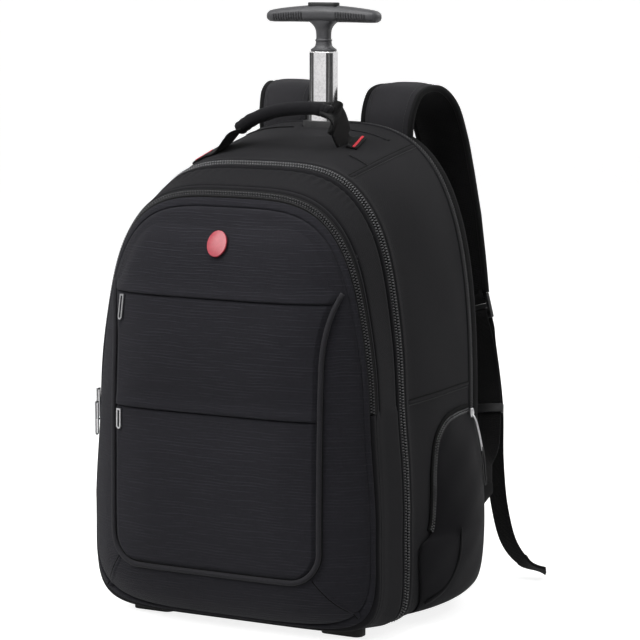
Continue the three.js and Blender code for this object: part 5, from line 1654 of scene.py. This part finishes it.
class BAG_OT_wheels(bpy.types.Operator):
    """Finish the chassis, the wheels and the feet"""
    bl_idname = "bag.wheels"
    bl_label = "Wheels"

    def execute(self, context):
        softened("chassis", "wheel_chassis", 1.2, black_plastic())
        for side, turn in SIDES[::-1]:
            body = f"wheel_{side}"
            centre = np.array((WHEEL["x"], WHEEL["y"], WHEEL["z"])) * turn
            tube(f"tyre_ring_{side}", self.tyre() + centre, rubber(), f"tyre_{side}", body, True)
            tube(f"hub_disc_{side}", self.hub() + centre, grey_plastic(),
                 f"wheel_hub_{side}", body, True)
            softened(f"axle_{side}_pin", f"axle_{side}", 0.4, pull_metal())
            softened(f"foot_{side}_pad", f"foot_{side}", 1.0, rubber())
        return {"FINISHED"}

    def turned(self, profile, count=96):
        """A profile of (along the axle, radius) turned about the axle."""
        angle = np.arange(count) * TAU / count
        profile = np.broadcast_to(profile, (count,) + np.shape(profile)[-2:])
        radius, angle = profile[..., 1], angle[:, None]
        return np.stack([profile[..., 0], radius * np.cos(angle), radius * np.sin(angle)], -1)

    def tyre(self):
        """A tyre with rounded shoulders and two grooves round its tread."""
        half, radius, hub = WHEEL["half"], WHEEL["radius"], WHEEL["hub"] + 0.3
        tread = [(-5.2, -0.1), (-4.6, -1.1), (-3.6, -1.1), (-3.0, 0), (0, 0), (3.0, 0), (3.6, -1.1),
                 (4.6, -1.1), (5.2, -0.1)]
        outer = [(-half, hub), (-half, radius - 4), (-half + 0.5, radius - 2.2), (-half + 1.8, radius - 0.8),
                 *[(x, radius + y) for x, y in tread],
                 (half - 1.8, radius - 0.8), (half - 0.5, radius - 2.2), (half, radius - 4), (half, hub)]
        return self.turned(np.array(outer))

    def hub(self):
        """A hub with five spokes: its faces dip between them."""
        half, radius = WHEEL["half"] - 0.8, WHEEL["hub"]
        angle = np.arange(96) * TAU / 96
        spokes = smooth((np.cos(5 * angle) + 0.25) / 0.5)
        out = np.array([5.0, 5.2, 6.2, 7.0, 8.2, 13.2, 14.2, 15.2, 16.4, radius])
        dip = np.array([0.0, 0.0, 0.3, 0.8, 1.0, 1.0, 0.8, 0.2, 0, 0.5])
        face = half - 2.8 * dip[None] * (1 - spokes)[:, None]
        one = np.stack([face, np.repeat(out[None], 96, 0)], -1)
        other = np.stack([-face, np.repeat(out[None], 96, 0)], -1)[:, ::-1]
        return self.turned(np.concatenate([one, other], 1))


class BAG_OT_stage(bpy.types.Operator):
    """Set the floor, the lights and the camera"""
    bl_idname = "bag.stage"
    bl_label = "Stage"

    def execute(self, context):
        scene = context.scene
        stage = scene.bag_stage
        self.backdrop(stage)
        self.lights()
        target = np.array((0.0, BACK_EDGE - 0.019, 0.280))
        a, e = stage.azimuth, stage.elevation
        away = np.array((math.sin(a) * math.cos(e), -math.cos(a) * math.cos(e), math.sin(e)))
        camera = bpy.data.objects.new("Camera", bpy.data.cameras.new("Camera"))
        scene.collection.objects.link(camera)
        camera.location = target + away * stage.distance
        camera.rotation_euler = (math.pi / 2 - e, 0, a)
        camera.data.lens = stage.lens
        camera.data.sensor_width = 36
        camera.data.clip_end = 60
        scene.camera = camera
        scene.view_settings.view_transform = "Standard"
        return {"FINISHED"}

    def backdrop(self, stage):
        """A round floor that curves up into a wall: a profile of a straight run, a quarter circle and
        another straight run, turned about Z."""
        material, tree, shader = new_material("Pale paper")
        place = new_node(tree, "ShaderNodeTexCoord")
        toned(tree, shader, place, tuple(stage.floor_colour), Drift=0.01)
        shader.inputs["Roughness"].default_value = 0.9
        # The camera sees the paper as white; glossy rays see a weaker glow that brightens the reflections on
        # the bag, and other rays get only its lit colour
        rays = new_node(tree, "ShaderNodeLightPath")
        shader.inputs["Emission Color"].default_value = (1, 1, 1, 1)
        seen = maths(tree, "MULTIPLY", rays.outputs["Is Camera Ray"], 0.85)
        shone = maths(tree, "MULTIPLY", rays.outputs["Is Glossy Ray"], 0.56)
        tree.links.new(maths(tree, "ADD", seen, shone), shader.inputs["Emission Strength"])
        turn = np.linspace(0, math.pi / 2, 20)
        flat, bend, high = 4.5, 1.5, 7.0
        reach = np.concatenate([[0.001, 1, 2, 3, 4], flat + bend * np.sin(turn), [flat + bend]])
        up = np.concatenate([np.zeros(5), bend * (1 - np.cos(turn)), [high]])
        angle = np.arange(96) * TAU / 96
        points = np.stack([reach[:, None] * np.cos(angle), reach[:, None] * np.sin(angle),
                           np.repeat(up[:, None], 96, 1)], -1)
        mesh = bpy.data.meshes.new("Backdrop")
        faces = grid_faces(len(reach), 96, wrap_columns=True)[:, ::-1]
        mesh.from_pydata(points.reshape(-1, 3).tolist(), [], faces.tolist())
        mesh.polygons.foreach_set("use_smooth", np.ones(len(mesh.polygons), bool))
        mesh.materials.append(material)
        floor = bpy.data.objects.new("Backdrop", mesh)
        bpy.context.scene.collection.objects.link(floor)

    def lights(self):
        world = bpy.data.worlds.new("Studio")
        bpy.context.scene.world = world
        world.use_nodes = True
        world.node_tree.nodes["Background"].inputs["Color"].default_value = (1, 1, 1, 1)
        world.node_tree.nodes["Background"].inputs["Strength"].default_value = 0.1
        # name, place, size and power
        lamps = [
            ("Key", (-1.5, -2.6, 2.6), 1.8, 100),
            ("Top", (-0.2, -0.5, 2.6), 1.6, 48),
            ("Fill", (2.3, -0.6, 3.2), 1.6, 21),
            ("Behind", (0.9, 2.2, 1.9), 1.6, 20),
        ]
        for name, spot, size, power in lamps:
            lamp = bpy.data.lights.new(name, "AREA")
            lamp.shape = "SQUARE"
            lamp.size = size
            lamp.energy = power
            obj = bpy.data.objects.new(name, lamp)
            bpy.context.scene.collection.objects.link(obj)
            obj.location = spot
            aim = np.array((0, 0, 0.3)) - np.array(spot)
            yaw = math.atan2(aim[0], -aim[1])
            pitch = math.atan2(math.hypot(aim[0], aim[1]), -aim[2])
            obj.rotation_euler = (pitch, 0, yaw + math.pi)


class BAG_PT_sidebar(bpy.types.Panel):
    """Lists the pieces of the bag and their settings"""
    bl_label = "Wheeled Backpack"
    bl_idname = "BAG_PT_sidebar"
    bl_space_type = "VIEW_3D"
    bl_region_type = "UI"
    bl_category = "Backpack"

    def draw(self, context):
        for group in (context.scene.bag_cloth, context.scene.bag_trim, context.scene.bag_stage):
            for name in group.__annotations__:
                self.layout.prop(group, name)
        for operator in OPERATORS:
            self.layout.operator(operator.bl_idname)


SETTINGS = {"bag_cloth": ClothSettings, "bag_trim": TrimSettings, "bag_stage": StageSettings}
OPERATORS = (BAG_OT_stage, BAG_OT_body_walls, BAG_OT_front, BAG_OT_zippers, BAG_OT_seams, BAG_OT_badge,
             BAG_OT_pulls, BAG_OT_back, BAG_OT_side_pockets, BAG_OT_grab_handle, BAG_OT_shoulder_straps,
             BAG_OT_strap_webbing, BAG_OT_trolley, BAG_OT_wheels)


def register():
    for entry in (*SETTINGS.values(), *OPERATORS, BAG_PT_sidebar):
        bpy.utils.register_class(entry)
    for name, group in SETTINGS.items():
        setattr(bpy.types.Scene, name, bpy.props.PointerProperty(type=group))


def unregister():
    for name in SETTINGS:
        delattr(bpy.types.Scene, name)
    for entry in reversed((*SETTINGS.values(), *OPERATORS, BAG_PT_sidebar)):
        bpy.utils.unregister_class(entry)


def main():
    register()
    for operator in OPERATORS:
        group, name = operator.bl_idname.split(".")
        getattr(getattr(bpy.ops, group), name)()


if __name__ == "__main__":
    main()
